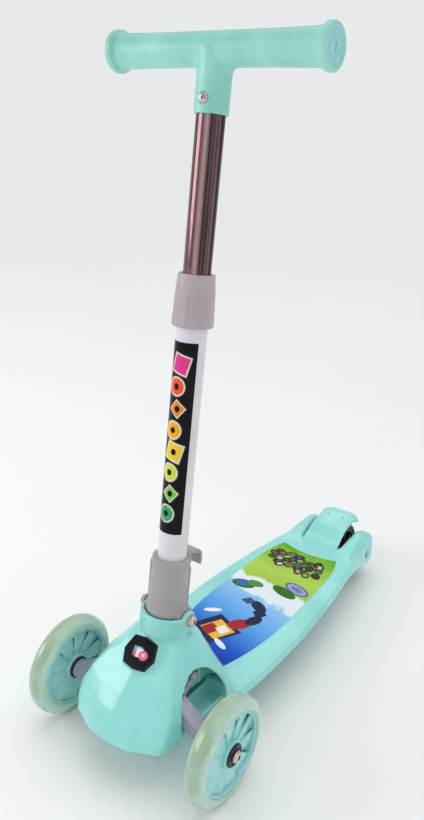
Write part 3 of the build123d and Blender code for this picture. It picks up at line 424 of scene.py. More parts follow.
# %% Grip finish
GRAIN_START, GRAIN_FULL = 0.022, 0.030
made, tree, shader = blank("mint_grip", Coat_Weight=0.15)
where = object_place(tree)
from_middle = maths(tree, "ABSOLUTE", axes(tree, where)["X"])
on_grip = remap(tree, from_middle, GRAIN_START, GRAIN_FULL, 0, 1)
cells = node(tree, "ShaderNodeTexVoronoi", feature="F1")
cells.inputs["Scale"].default_value = 420
tree.links.new(where, cells.inputs["Vector"])
mottle = maths(tree, "MULTIPLY", cells.outputs["Distance"], on_grip)
mottle = maths(tree, "ADD", mottle, maths(tree, "MULTIPLY", noise(tree, where, 260, 3), on_grip))
tint = ramp(tree, noise(tree, where, 22), [(0.3, (0.25, 0.62, 0.53)), (0.7, (0.33, 0.74, 0.65))])
# The bar's raised edges get the painted highlight.
tree.links.new(painted_edge_highlight(tree, tint, MINT_HIGHLIGHT), shader.inputs["Base Color"])
uneven_gloss(tree, shader, where, 60, 4, 0.36, 0.52)
bump(tree, shader, mottle, 0.45, 0.0005)
paints["mint_grip"] = made

# %% [markdown]
# ## Grip lines on the latch
# The latch has fine raised lines across its flanks for the fingers. They run level on the column, so they
# are a sine of the height on it, faded in over one stretch of that height.

# %% Latch finish
GRIP_LOW, GRIP_HIGH, GRIP_STEP, GRIP_FADE = 30, 62, 2.6, 2
made, tree, shader = blank("latch_plastic")
where = on_column(tree)
height = maths(tree, "MULTIPLY", axes(tree, where)["Z"], 1 / MM)
lines = maths(tree, "SINE", maths(tree, "MULTIPLY", height, math.tau / GRIP_STEP))
above_low = remap(tree, height, GRIP_LOW, GRIP_LOW + GRIP_FADE, 0, 1)
below_high = remap(tree, height, GRIP_HIGH - GRIP_FADE, GRIP_HIGH, 1, 0)
lines = maths(tree, "MULTIPLY", lines, maths(tree, "MULTIPLY", above_low, below_high))
tint = ramp(tree, noise(tree, where, 14), [(0.3, (0.33, 0.30, 0.31)), (0.7, (0.40, 0.37, 0.375))])
# The hollows between the grip lines are painted darker as painted shade, and the raised edges get a painted
# highlight.
tint = mix(tree, remap(tree, lines, -1, 0, 0.35, 0), tint, (0.16, 0.14, 0.15))
tree.links.new(painted_edge_highlight(tree, tint, (0.60, 0.57, 0.57)), shader.inputs["Base Color"])
uneven_gloss(tree, shader, where, 70, 4, 0.34, 0.48)
bump(tree, shader, lines, 0.5, 0.0006)
paints["latch_plastic"] = made

# %% [markdown]
# ## Chrome tube
# Plated steel shows what is around it, and here that is painted into its colour: long painted reflection
# streaks of noise squeezed along the column, which turn with the tube, and one side painted darker.

# %% Chrome finish
STREAK_LENGTH, DARK_SIDE_X, DARK_SIDE_Y = 600, 0.788, 0.616
made, tree, shader = blank("chrome_tube", Metallic=1.0)
where = on_column(tree)
drawn_out = on_column(tree, (1, 1, STREAK_LENGTH))
side_ways = axes(tree, where)
# Painted reflection: one side of the tube is painted darker.
dark_side = weighed(tree, side_ways["X"], DARK_SIDE_X, side_ways["Y"], DARK_SIDE_Y)
painted_dark_side = remap(tree, dark_side, -0.002, 0.002, 0.09, -0.07)
painted_reflection_streaks = maths(tree, "ADD", noise(tree, drawn_out, 190, 5, 0.6), painted_dark_side)
tint = ramp(tree, painted_reflection_streaks, [(0.36, (0.02, 0.012, 0.014)), (0.46, (0.10, 0.07, 0.07)),
                            (0.54, (0.22, 0.12, 0.13)), (0.66, (0.50, 0.30, 0.31)),
                            (0.80, (0.80, 0.68, 0.64))])
tree.links.new(tint, shader.inputs["Base Color"])
uneven_gloss(tree, shader, where, 90, 5, 0.07, 0.2)
bump(tree, shader, painted_reflection_streaks, 0.04, 0.0003)
paints["chrome_tube"] = made

# %% [markdown]
# ## Clear tyre
# The front tyres are cast in clear polyurethane. Thick parts look olive, thin parts look pale green, and
# the hub shines through. The tint therefore follows the distance from the axle, with a slow noise for
# flow marks in the casting, and small pale spots are painted glints.

# %% Clear tyre finish


def clear_tyre(name, x):
    """The cast tyre's finish, for a wheel whose middle is at X (millimetres)."""
    made, tree, shader = blank(name, Transmission_Weight=0.38, IOR=1.45, Coat_Weight=0.6,
                               Coat_Roughness=0.05, Subsurface_Weight=0.25)
    shift = Vector((-x, -FRONT_AXLE_Y, -FRONT_AXLE_Z)) * MM
    where = object_place(tree, shift=shift)
    flat = node(tree, "ShaderNodeVectorMath", operation="MULTIPLY")
    flat.inputs[1].default_value = (0, 1, 1)
    tree.links.new(where, flat.inputs[0])
    length = node(tree, "ShaderNodeVectorMath", operation="LENGTH")
    tree.links.new(flat.outputs["Vector"], length.inputs[0])
    flow = maths(tree, "MULTIPLY", maths(tree, "SUBTRACT", noise(tree, where, 38, 3), 0.5), 0.012)
    reach = remap(tree, maths(tree, "ADD", length.outputs["Value"], flow), 0.044, 0.060, 0, 1)
    tint = ramp(tree, reach, [(0.0, (0.42, 0.82, 0.70)), (0.35, (0.62, 0.95, 0.82)),
                              (0.75, (0.68, 0.95, 0.80)), (1.0, (0.52, 0.70, 0.50))])
    # Small pale spots laid over the tint are painted glints.
    glint_cells = node(tree, "ShaderNodeTexVoronoi", feature="F1")
    glint_cells.inputs["Scale"].default_value = 62
    tree.links.new(where, glint_cells.inputs["Vector"])
    painted_glint = maths(tree, "MULTIPLY", remap(tree, glint_cells.outputs["Distance"], 0.10, 0.22, 1, 0),
                  remap(tree, noise(tree, where, 30, 2), 0.48, 0.58, 0, 0.95))
    tree.links.new(mix(tree, painted_glint, tint, (0.90, 0.92, 0.74)), shader.inputs["Base Color"])
    uneven_gloss(tree, shader, where, 80, 4, 0.10, 0.24)
    bump(tree, shader, noise(tree, where, 120, 3), 0.12, 0.0006)
    return made


tyre_paints = {side: clear_tyre("clear_tyre_" + side, sign * TRACK_HALF) for side, sign in SIDES}
print(len(tyre_paints), "tyre finishes")

# %% [markdown]
# ## Printed film
# The label, the badge and the deck picture are printed. Each print is built as a printer would lay it
# down: a ground first, then flat shapes over it. A shape is a mask, made from the distance to its
# centre: round for ellipses, straight-sided for diamonds, boxy for blocks.

# %% A flat printed shape


def printed(tree, u, v, ground, shapes, soft=0.06):
    """Lay (kind, u, v, half width, half height, turn in degrees, colour) shapes over a ground, in mm."""
    for kind, cu, cv, half_u, half_v, turn, colour in shapes:
        cos, sin = math.cos(math.radians(turn)), math.sin(math.radians(turn))
        du, dv = maths(tree, "SUBTRACT", u, cu), maths(tree, "SUBTRACT", v, cv)
        along = maths(tree, "ABSOLUTE", weighed(tree, du, cos / half_u, dv, sin / half_u))
        across = maths(tree, "ABSOLUTE", weighed(tree, dv, cos / half_v, du, -sin / half_v))
        if kind == "round":
            squares = [maths(tree, "POWER", way, 2) for way in (along, across)]
            reach = maths(tree, "SQRT", maths(tree, "ADD", *squares))
        elif kind == "diamond":
            reach = maths(tree, "ADD", along, across)
        else:
            reach = maths(tree, "MAXIMUM", along, across)
        ground = mix(tree, remap(tree, reach, 1 - soft, 1 + soft, 1, 0), ground, colour)
    return ground


def outlined(shapes, rim, colour):
    """Give each shape a wider copy underneath it, as an outline."""
    laid = []
    for kind, cu, cv, half_u, half_v, turn, fill in shapes:
        laid.append((kind, cu, cv, half_u + rim, half_v + rim, turn, colour))
        laid.append((kind, cu, cv, half_u, half_v, turn, fill))
    return laid


# %% Column label finish
CREAM, INK = (0.86, 0.80, 0.62), (0.004, 0.004, 0.005)
LABEL_LOW, LABEL_HIGH, LABEL_R, LABEL_TURN = 118.6, 324.6, 16.15, 65
LABEL_MARGIN, LABEL_SWAY, LABEL_RIM = 11, 1.5, 1.5
LABEL_SHAPE, LABEL_DOT = (8.4, 8.8), (3.0, 3.4)
label_colours = [(0.78, 0.05, 0.28), (0.86, 0.10, 0.05), (0.90, 0.22, 0.02), (0.93, 0.42, 0.02),
                 (0.90, 0.62, 0.04), (0.62, 0.72, 0.05), (0.20, 0.58, 0.08), (0.04, 0.38, 0.16)]
made, tree, shader = blank("label_film", Coat_Weight=0.04, Coat_Roughness=0.10, Specular_IOR_Level=0.1)
where = on_column(tree)
place_axes = axes(tree, where)
angle = maths(tree, "ARCTAN2", place_axes["X"], maths(tree, "MULTIPLY", place_axes["Y"], -1))
around = maths(tree, "MULTIPLY", angle, LABEL_R)
up = maths(tree, "MULTIPLY", place_axes["Z"], 1 / MM)
shapes = []
label_top = LABEL_HIGH - LABEL_MARGIN
step = (LABEL_HIGH - LABEL_LOW - 2 * LABEL_MARGIN) / len(label_colours)
for index, colour in enumerate(label_colours):
    kind = ("block", "round", "diamond", "round")[index % 4]
    sway = (LABEL_SWAY, -LABEL_SWAY)[index % 2]
    lean = (-14, 10, 6, -8)[index % 4]
    shapes.append((kind, sway, label_top - step * (index + 0.5), *LABEL_SHAPE, lean, colour))
shapes = outlined(shapes, LABEL_RIM, CREAM)
for index in range(len(label_colours) - 1):
    sway = (-LABEL_SWAY, LABEL_SWAY)[index % 2]
    shapes.append(("round", sway, label_top - step * (index + 1.5), *LABEL_DOT, 0, INK))
ground = ramp(tree, noise(tree, where, 60), [(0.3, INK), (0.7, (0.009, 0.009, 0.010))])
colour = printed(tree, around, up, ground, shapes)
tree.links.new(colour, shader.inputs["Base Color"])
uneven_gloss(tree, shader, where, 120, 4, 0.18, 0.34)
bump(tree, shader, noise(tree, where, 300, 3), 0.05)
paints["label_film"] = made
print("label shapes", len(shapes))

# %% Badge finish
BADGE_CENTRE, BADGE_SLOPE = Vector((0, -228, 129.6)) * MM, math.radians(43)
made, tree, shader = blank("badge_film", Coat_Weight=0.04, Coat_Roughness=0.06, Specular_IOR_Level=0.1)
on_badge = object_place(tree, turn=(BADGE_SLOPE, 0, 0), shift=BADGE_CENTRE, kind="TEXTURE")
place_axes = axes(tree, on_badge)
badge_u, badge_v = (maths(tree, "MULTIPLY", place_axes[way], 1 / MM) for way in ("X", "Y"))
badge_shapes = [("block", -4.6, 2.2, 5.2, 3.2, 10, (0.10, 0.42, 0.72)),
                ("block", -1.2, -0.6, 4.2, 4.8, 8, (0.86, 0.76, 0.60)),
                ("round", 4.8, -1.6, 5.8, 5.2, 0, (0.84, 0.12, 0.34)),
                ("diamond", 4.6, -1.4, 2.8, 2.6, 0, (0.90, 0.62, 0.70)),
                ("round", -6.8, -3.4, 2.2, 2.4, 0, (0.75, 0.10, 0.25))]
colour = printed(tree, badge_u, badge_v, INK, badge_shapes)
tree.links.new(colour, shader.inputs["Base Color"])
uneven_gloss(tree, shader, object_place(tree), 160, 4, 0.10, 0.26)
paints["badge_film"] = made
print("badge shapes", len(badge_shapes))

# %% [markdown]
# ## Deck picture
# The deck film shows an open landscape: deep blue in front, a paler sky, a bank of ragged cloud and a
# green meadow at the back. A kite flies in the sky, and bushes, a pond and flowers lie in the meadow.
# The sky and the meadow are ramps along the deck, and noise breaks up the edges of the cloud between them.

# %% Deck film finish
HORIZON_SLANT = 0.22
made, tree, shader = blank("deck_film", Coat_Weight=0.03, Coat_Roughness=0.12, Specular_IOR_Level=0.1)
where = object_place(tree)
place_axes = axes(tree, where)
deck_u, deck_v = (maths(tree, "MULTIPLY", place_axes[way], 1 / MM) for way in ("X", "Y"))
ragged = maths(tree, "MULTIPLY", maths(tree, "SUBTRACT", noise(tree, where, 34, 4, 0.6), 0.5), 60)
slanted = maths(tree, "ADD", deck_v, maths(tree, "MULTIPLY", deck_u, HORIZON_SLANT))
drift = maths(tree, "ADD", slanted, ragged)
sky = ramp(tree, remap(tree, slanted, -124, 60, 0, 1),
           [(0.0, (0.002, 0.03, 0.40)), (0.20, (0.01, 0.10, 0.60)),
            (0.48, (0.10, 0.38, 0.82)), (0.85, (0.34, 0.62, 0.90))])
cloud = mix(tree, remap(tree, drift, 14, 22, 0, 1), sky, (0.78, 0.86, 0.92))
meadow_tint = ramp(tree, remap(tree, maths(tree, "ADD", deck_v, ragged), 50, 170, 0, 1),
                   [(0.0, (0.34, 0.56, 0.06)), (0.35, (0.46, 0.66, 0.10)),
                    (0.75, (0.22, 0.52, 0.03)), (1.0, (0.10, 0.40, 0.02))])
ground = mix(tree, remap(tree, drift, 52, 57, 0, 1), cloud, meadow_tint)
NAVY, RED, GOLD = (0.018, 0.022, 0.07), (0.42, 0.02, 0.03), (0.86, 0.50, 0.05)
kite = [("diamond", -8, -72, 34, 31, 20, NAVY), ("diamond", -5, -72, 23, 21, 20, GOLD),
        ("diamond", -13, -76, 13, 12, 20, RED), ("diamond", 1, -69, 10, 10, 20, (0.88, 0.86, 0.80)),
        ("round", 12, -47, 16, 10, 48, RED), ("round", 23, -30, 13, 8, 70, NAVY),
        ("diamond", 21, -12, 12, 10, 100, NAVY), ("round", 12, 0, 15, 8, 150, NAVY),
        ("diamond", -6, 4, 11, 8, 20, (0.05, 0.09, 0.2)),
        ("round", -33, -42, 12, 4, 35, (0.88, 0.88, 0.9)), ("round", 14, -94, 12, 4, -25, (0.85, 0.86, 0.9))]
GREEN_DARK, GREEN_LEAF = (0.03, 0.16, 0.02), (0.08, 0.30, 0.03)
bushes = [("round", -34, 34, 17, 10, 10, GREEN_DARK), ("round", -36, 36, 11, 7, 10, (0.05, 0.16, 0.42)),
          ("round", -20, 44, 12, 7, 0, GREEN_LEAF), ("round", 22, 50, 20, 9, -14, GREEN_DARK),
          ("round", 36, 64, 10, 6, 0, GREEN_LEAF)]
pond = [("round", 33, 66, 20, 10.5, -16, (0.10, 0.12, 0.34)),
        ("round", 33, 66, 16.5, 8, -16, (0.36, 0.40, 0.62)),
        ("round", 33, 66, 10, 4.4, -16, (0.16, 0.2, 0.46))]
BED_COUNT, BED_ROW, BED_STEP, BED_START, ROW_STEP, ROW_START = 24, 8, 10.5, -38, 13, 112
LEAF_SIZE, PETAL_SIZE, SHADE = (8.4, 6.6), (4.0, 3.2), (0.035, 0.03, 0.03)
petals = [(0.07, 0.04, 0.04), (0.48, 0.34, 0.16), (0.12, 0.09, 0.26), (0.50, 0.10, 0.08),
          (0.62, 0.54, 0.40), (0.22, 0.12, 0.05)]
flowers = []
for index in range(BED_COUNT):
    flower_u = BED_START + BED_STEP * (index % BED_ROW) + 3 * math.sin(index * 2.1)
    flower_v = ROW_START + ROW_STEP * (index // BED_ROW) + 5 * math.cos(index * 1.7) - 0.12 * flower_u
    leaf = SHADE if index % 3 else GREEN_DARK
    tint = petals[(index * 5 + index // 6) % len(petals)]
    kind = ("round", "diamond", "block")[index % 3]
    flowers.append(("round", flower_u, flower_v, *LEAF_SIZE, 20 * index, leaf))
    flowers.append((kind, flower_u, flower_v, *PETAL_SIZE, 20 * index, tint))
deck_shapes = kite + bushes + pond + flowers
colour = printed(tree, deck_u, deck_v, ground, deck_shapes, 0.04)
scuffs = remap(tree, noise(tree, object_place(tree, (1, 0.15, 1)), 220, 6, 0.7), 0.60, 0.78, 0, 0.22)
tree.links.new(mix(tree, scuffs, colour, (0.6, 0.66, 0.7)), shader.inputs["Base Color"])
uneven_gloss(tree, shader, where, 70, 5, 0.14, 0.34)
bump(tree, shader, noise(tree, where, 90, 3), 0.06, 0.0006)
paints["deck_film"] = made
print("deck shapes", len(deck_shapes))

# %% [markdown]
# ## Front wheels
# A front wheel is a clear tyre cast round a hub with slanted fan blades. Both are turned shapes, so the
# profiles are spun. The tyre has a fine moulding ridge round its crown and a small step at each bead.
# One blade is a block that is tapered, tilted and bevelled, and its copies are turned round the boss.

# %% Tyre and hub
WHEEL_R, RIM_R, TYRE_HALF, HUB_HALF = 60.0, 46.0, 12.0, 11.5
TYRE_RIDGE, BEAD = 0.15, 5.0
BOSS_R, HUB_BORE_R, BEARING_SEAT_R, BEARING_SEAT_DEEP = 14.4, 9.2, 11.1, 6.8
BLADE_COUNT, BLADE_TILT, BLADE_TAPER, BLADE_EDGE = 10, 8, 0.38, 0.7
BLADE_LONG, BLADE_WIDE, BLADE_THICK, BLADE_LIFT = 29.0, 26.5, 2.8, 6.2
BLADE_MIDDLE = (BOSS_R + RIM_R - 2.5) / 2


def mirrored(half_line):
    """The (radius, height) pairs of a half outline, mirrored across the middle and run backwards."""
    return [(radius, -height) for radius, height in reversed(half_line)]


def tyre_profile(radius, rim, half, ridge):
    """Closed (radius, height) outline of a round-shouldered tyre with a ridge on its crown."""
    side = [(rim, 1 - half), (rim + 1.2, 0.6 - half), (rim + 2.0, -half), (rim + 4.2, -half),
            (rim + BEAD, 0.25 - half)]
    arc = []
    depth = radius - rim - BEAD
    for turn in range(10, 90, 10):
        angle = math.radians(turn)
        arc.append((rim + BEAD + depth * math.sin(angle), -(half - 0.25) * math.cos(angle) ** 0.8))
    half_line = side + arc + [(radius - 0.15, -0.9), (radius + ridge, -0.25)]
    return half_line + mirrored(half_line) + half_line[:1]


def blade(turn):
    """One fan blade: a block from the boss to the rim, narrow at the boss and tilted like a turbine's."""
    bpy.ops.object.select_all(action="DESELECT")
    bpy.ops.mesh.primitive_cube_add(size=1, location=(0, 0, 0))
    piece = bpy.context.object
    size = tuple(measure * MM for measure in (BLADE_LONG, BLADE_WIDE, BLADE_THICK))
    in_edit(piece, lambda: bpy.ops.transform.resize(value=size))
    in_edit(piece, lambda: bpy.ops.mesh.select_all(action="DESELECT"))
    for vertex in piece.data.vertices:
        vertex.select = vertex.co.x < 0
    narrow = {"value": (1, BLADE_TAPER, 1), "center_override": (0, 0, 0)}
    in_edit_selected(piece, lambda: bpy.ops.transform.resize(**narrow))
    finish_mesh(piece, "BEVEL", width=BLADE_EDGE * MM, segments=2)
    tilt = Matrix.Rotation(math.radians(BLADE_TILT), 4, "X")
    outwards = Matrix.Translation(Vector((BLADE_MIDDLE, 0, BLADE_LIFT)) * MM)
    place(piece, Matrix.Rotation(math.radians(turn), 4, "Z") @ outwards @ tilt)
    return piece


def front_hub_piece():
    """The hub: a turned rim, web and boss, with fan blades on both faces of the web."""
    seat_floor = HUB_HALF - BEARING_SEAT_DEEP
    half_line = [(RIM_R - 0.1, HUB_HALF - 1.2), (RIM_R - 0.8, HUB_HALF - 0.5), (RIM_R - 2.2, HUB_HALF - 0.5),
                 (RIM_R - 3.0, HUB_HALF - 1.3), (RIM_R - 3.4, 1.6), (BOSS_R + 1.6, 1.4),
                 (BOSS_R + 0.6, HUB_HALF - 1.0), (BOSS_R - 0.4, HUB_HALF), (BEARING_SEAT_R, HUB_HALF),
                 (BEARING_SEAT_R, seat_floor), (HUB_BORE_R, seat_floor)]
    line = half_line + mirrored(half_line)
    rim = lathe("rim", line[-1:] + line)
    blades = [blade(360 / BLADE_COUNT * index) for index in range(BLADE_COUNT)]
    for index in range(BLADE_COUNT):
        back = blade(360 / BLADE_COUNT * (index + 0.5))
        place(back, Matrix.Rotation(math.pi, 4, "X"))
        blades.append(back)
    hub = joined("hub", rim, *blades)
    in_edit(hub, outward)
    smooth_by(hub, 32)
    return hub


for side, sign in SIDES:
    wheel = "wheel_" + side
    axle = on_axle(sign * TRACK_HALF, FRONT_AXLE_Y, FRONT_AXLE_Z, sign)
    tyre = lathe("tyre_cast_" + side, tyre_profile(WHEEL_R, RIM_R, TYRE_HALF, TYRE_RIDGE), TYRE_STEPS)
    smooth_by(tyre)
    place(tyre, axle)
    settle(tyre, wheel, "clear_tyre", tyre_paints[side], "front_tyre_" + side)
    hub = front_hub_piece()
    hub.name = "hub_moulding_" + side
    place(hub, axle)
    settle(hub, wheel, "hub_plastic", paints["hub_plastic"], "front_hub_" + side)
print("tyre", len(tyre.data.polygons), "hub", len(hub.data.polygons), "faces")

# %% [markdown]
# ## Axle caps
# Each front wheel has a black cap on both sides of its middle. The outer one, where the eye goes first, is
# a turned dish with a rounded rim and a sunk ring. The inner one is a plain disc. The axle bolt that runs
# through them keeps its CAD shape.

# %% Turned caps
CAP_R, CAP_T, CAP_BORE_R, HUB_GAP = 13.0, 2.2, 4.1, 0.3
SUNK_OUTER_R, SUNK_INNER_R, SUNK_DEEP = 9.0, 7.2, 0.5
cap_foot = [(CAP_BORE_R, 0), (CAP_R - 0.8, 0), (CAP_R, 0.7)]
cap_bore = [(CAP_BORE_R, CAP_T), (CAP_BORE_R, 0)]
outer_face = [(CAP_R, CAP_T - 1.0), (CAP_R - 1.0, CAP_T), (SUNK_OUTER_R + 0.6, CAP_T),
              (SUNK_OUTER_R, CAP_T - SUNK_DEEP), (SUNK_INNER_R, CAP_T - SUNK_DEEP),
              (SUNK_INNER_R - 0.3, CAP_T)]
inner_face = [(CAP_R, CAP_T - 0.7), (CAP_R - 0.8, CAP_T)]
for side, sign in SIDES:
    outer_seat = sign * (TRACK_HALF + HUB_HALF + HUB_GAP)
    cap = lathe("cap_outer_" + side, cap_foot + outer_face + cap_bore)
    smooth_by(cap)
    place(cap, on_axle(outer_seat, FRONT_AXLE_Y, FRONT_AXLE_Z, sign))
    inner_seat = sign * (TRACK_HALF - HUB_HALF - HUB_GAP - CAP_T)
    inner = lathe("cap_inner_" + side, cap_foot + inner_face + cap_bore)
    smooth_by(inner)
    place(inner, on_axle(inner_seat, FRONT_AXLE_Y, FRONT_AXLE_Z, sign))
    settle(inner, "arm_" + side, "black_cap", paints["black_cap"])
    settle(cap, "arm_" + side, "black_cap", paints["black_cap"], "axle_caps_" + side)
print("caps", len(cap.data.polygons), "faces")

# %% [markdown]
# ## Column tubes
# A drawn tube has to look perfectly round, so both tubes are spun with many steps and get a small lip at
# the end. The label is a thin film, so it is an open sheet spun part of the way round and thickened.

# %% Tubes and label
LOWER_R, LOWER_BORE_R, LOWER_FOOT, LOWER_TOP = 15.9, 14.7, 24, 372
UPPER_R, UPPER_BORE_R, UPPER_FOOT, UPPER_TOP = 14.0, 12.8, 290, 575
TUBE_LIP, LABEL_THICK = 0.5, 0.2


def drawn_tube(name, radius, bore, foot, top):
    """A tube on the column with a small chamfer round its upper end."""
    line = [(radius, foot), (radius, top - TUBE_LIP), (radius - TUBE_LIP, top), (bore, top), (bore, foot)]
    piece = lathe(name, line + line[:1], ROUND_STEPS)
    smooth_by(piece)
    place(piece, COLUMN)
    return piece


lower = drawn_tube("lower_tube_drawn", LOWER_R, LOWER_BORE_R, LOWER_FOOT, LOWER_TOP)
settle(lower, "stem", "white_paint", paints["white_paint"], "lower_tube")

upper = drawn_tube("upper_tube_drawn", UPPER_R, UPPER_BORE_R, UPPER_FOOT, UPPER_TOP)
settle(upper, "handlebar", "chrome_tube", paints["chrome_tube"], "upper_tube")

film_middle = LABEL_R - LABEL_THICK / 2
label_line = [(film_middle, LABEL_LOW), (film_middle, LABEL_HIGH)]
label = lathe("label_wrap", label_line, FILM_STEPS, 2 * LABEL_TURN, -90 + LABEL_TURN)
finish_mesh(label, "SOLIDIFY", thickness=LABEL_THICK * MM, offset=0)
in_edit(label, outward)
smooth_by(label)
place(label, COLUMN)
settle(label, "stem", "label_film", paints["label_film"], "stem_label")
print("label", [round(v, 4) for v in label.dimensions])

# %% [markdown]
# ## Badge rim
# The badge is a glossy plate with a thin raised rim. The rim is the plate's own outline, filled, inset a
# little, and the ring between the two outlines is raised. It is drawn flat and tipped onto the slope.

# %% Raised rim on the badge
RIM_WIDTH, RIM_RISE, RIM_EDGE, PLATE_FACE = 1.3, 0.5, 0.2, 1.75
badge_right = [(0, 17.5), (15.5, 15), (20.5, -2), (14.5, -16), (0, -18.5)]
badge_outline = badge_right + [(-x, y) for x, y in reversed(badge_right[1:-1])]
badge_rim = trace("badge_rim", [(x, y, 0) for x, y in badge_outline + badge_outline[:1]])
rise = {"value": (0, 0, RIM_RISE * MM)}
in_edit(badge_rim, weld, lambda: bpy.ops.mesh.edge_face_add(),
        lambda: bpy.ops.mesh.inset(thickness=RIM_WIDTH * MM),
        lambda: bpy.ops.mesh.delete(type="FACE"), select_everything,
        lambda: bpy.ops.mesh.extrude_region_move(TRANSFORM_OT_translate=rise),
        select_everything, outward)
finish_mesh(badge_rim, "BEVEL", width=RIM_EDGE * MM, segments=2)
smooth_by(badge_rim, 35)
badge_top = Matrix.Translation(BADGE_CENTRE) @ Matrix.Rotation(BADGE_SLOPE, 4, "X")
place(badge_rim, badge_top @ Matrix.Translation((0, 0, PLATE_FACE * MM)))
settle(badge_rim, "deck", "badge_film", paints["black_cap"])

# %% [markdown]
# ## Moulded shells
# The bar, the clamp collar, the fold sleeve, its latch, the front housing, the deck and the brake are
# injection mouldings. Real ones have no sharp edge anywhere, so each is a relaxed copy of its CAD solid.
# The housing's dome gets extra passes on its outer skin only, so the arches and the collar stay crisp, and
# the deck gets them on its lobes and sides. The brake's flap is bowed as well. The two steering arms are
# castings and are relaxed in the same way.

# %% Bar and collar
bar = soften("bar_moulding", "handlebar", 0.9, 6)
settle(bar, "handlebar", "mint_grip", paints["mint_grip"], "handlebar")
collar = soften("clamp_collar", "height_collar", 0.7, 6)
settle(collar, "collar", "collar_plastic", paints["collar_plastic"], "height_collar")

# %% Fold sleeve and latch
sleeve = soften("fold_sleeve", "stem_sleeve", 0.6, 4)
settle(sleeve, "stem", "grey_plastic", paints["grey_plastic"], "stem_sleeve")
latch = soften("latch_moulding", "fold_latch", 0.5, 3)
settle(latch, "latch", "grey_plastic", paints["latch_plastic"], "fold_latch")

# %% Front housing
housing = soften("housing_moulding", "front_housing", 1.2, 3)
DOME_LOW, DOME_TOP, DOME_FALL, DOME_PASSES = 54, 132, 0.10, 28
ARCH_X, ARCH_FRONT_Y, ARCH_BACK_Y, ARCH_TOP = 30, -246, -162, 119
BADGE_SIDE_X, BADGE_BACK_Y, BADGE_LOW = 26, -200, 108


def on_dome(spot):
    """True on the outer skin of the dome, away from the arches, the badge and the sleeve's seat."""
    out = abs(spot.x)
    on_skin = DOME_LOW < spot.z < DOME_TOP - DOME_FALL * out
    in_arch = out > ARCH_X and ARCH_FRONT_Y < spot.y < ARCH_BACK_Y and spot.z < ARCH_TOP
    near_badge = out < BADGE_SIDE_X and spot.y < BADGE_BACK_Y and spot.z > BADGE_LOW
    return on_skin and not in_arch and not near_badge


relax(housing, on_dome, DOME_PASSES)
settle(housing, "deck", "mint_plastic", paints["mint_plastic"], "front_housing")

# %% Deck
LOBE_X, LOBE_Y, LOBE_Z, LOBE_PASSES = 29.5, 196, 44, 45
EDGE_X, EDGE_BACK_Y, EDGE_PASSES = 59, 205, 14
FLANK_X, FLANK_FRONT_Y, FLANK_BACK_Y, FLANK_TOP, FLANK_PASSES = 50, 135, 225, 63, 26


def on_lobe(spot):
    """True on the upper part of the two lobes beside the rear wheel."""
    return spot.y > LOBE_Y and abs(spot.x) > LOBE_X and spot.z > LOBE_Z


def on_edge(spot):
    """True on the long side edges."""
    return abs(spot.x) > EDGE_X and spot.y < EDGE_BACK_Y


def on_flank(spot):
    """True on the lower flanks where they run into the lobes."""
    return abs(spot.x) > FLANK_X and FLANK_FRONT_Y < spot.y < FLANK_BACK_Y and spot.z < FLANK_TOP


deck = soften("deck_moulding", "deck", 1.9, 6)
relax(deck, on_lobe, LOBE_PASSES)
relax(deck, on_edge, EDGE_PASSES)
relax(deck, on_flank, FLANK_PASSES)
settle(deck, "deck", "mint_plastic", paints["mint_plastic"], "deck")

# %% Brake
brake = soften("brake_moulding", "rear_brake", 0.9, 8)
BRAKE_FLAT, BRAKE_EDGE, BRAKE_DROP, BRAKE_START, BRAKE_FULL = 13, 32, 7.5, 212, 236
BRAKE_TAIL_Y, BRAKE_TAIL_LENGTH, BRAKE_TAIL_PULL = 262, 25, 11
BRAKE_ROOT_Y, BRAKE_ROOT_PULL, BRAKE_ROOT_FADE = 198.3, 2.4, 10


def crown(spot):
    """Bow the flap's sides down, round its tail off and close its root up to the deck (millimetres)."""
    out = max(0.0, abs(spot.x) - BRAKE_FLAT) / (BRAKE_EDGE - BRAKE_FLAT)
    along = min(1.0, max(0.0, (spot.y - BRAKE_START) / (BRAKE_FULL - BRAKE_START)))
    tail = max(0.0, spot.y - BRAKE_TAIL_Y) / BRAKE_TAIL_LENGTH
    root = max(0.0, 1 - (spot.y - BRAKE_ROOT_Y) / BRAKE_ROOT_FADE)
    pull = BRAKE_TAIL_PULL * out ** 2 * tail + BRAKE_ROOT_PULL * root
    return Vector((0, -pull, -BRAKE_DROP * out ** 2 * along))


for vertex in brake.data.vertices:
    vertex.co += crown(vertex.co / MM) * MM
settle(brake, "brake", "mint_plastic", paints["mint_plastic"], "rear_brake")

# %% Steering arms
for side in ("left", "right"):
    arm = soften("arm_casting_" + side, "steering_arm_" + side, 0.8, 4)
    settle(arm, "arm_" + side, "alloy", paints["alloy"], "steering_arm_" + side)

# %% [markdown]
# ## Rear wheel
# The rear wheel is wide and black and mostly hidden by the brake. It has a flat crown with two shallow
# grooves, which only a close look under the brake shows.

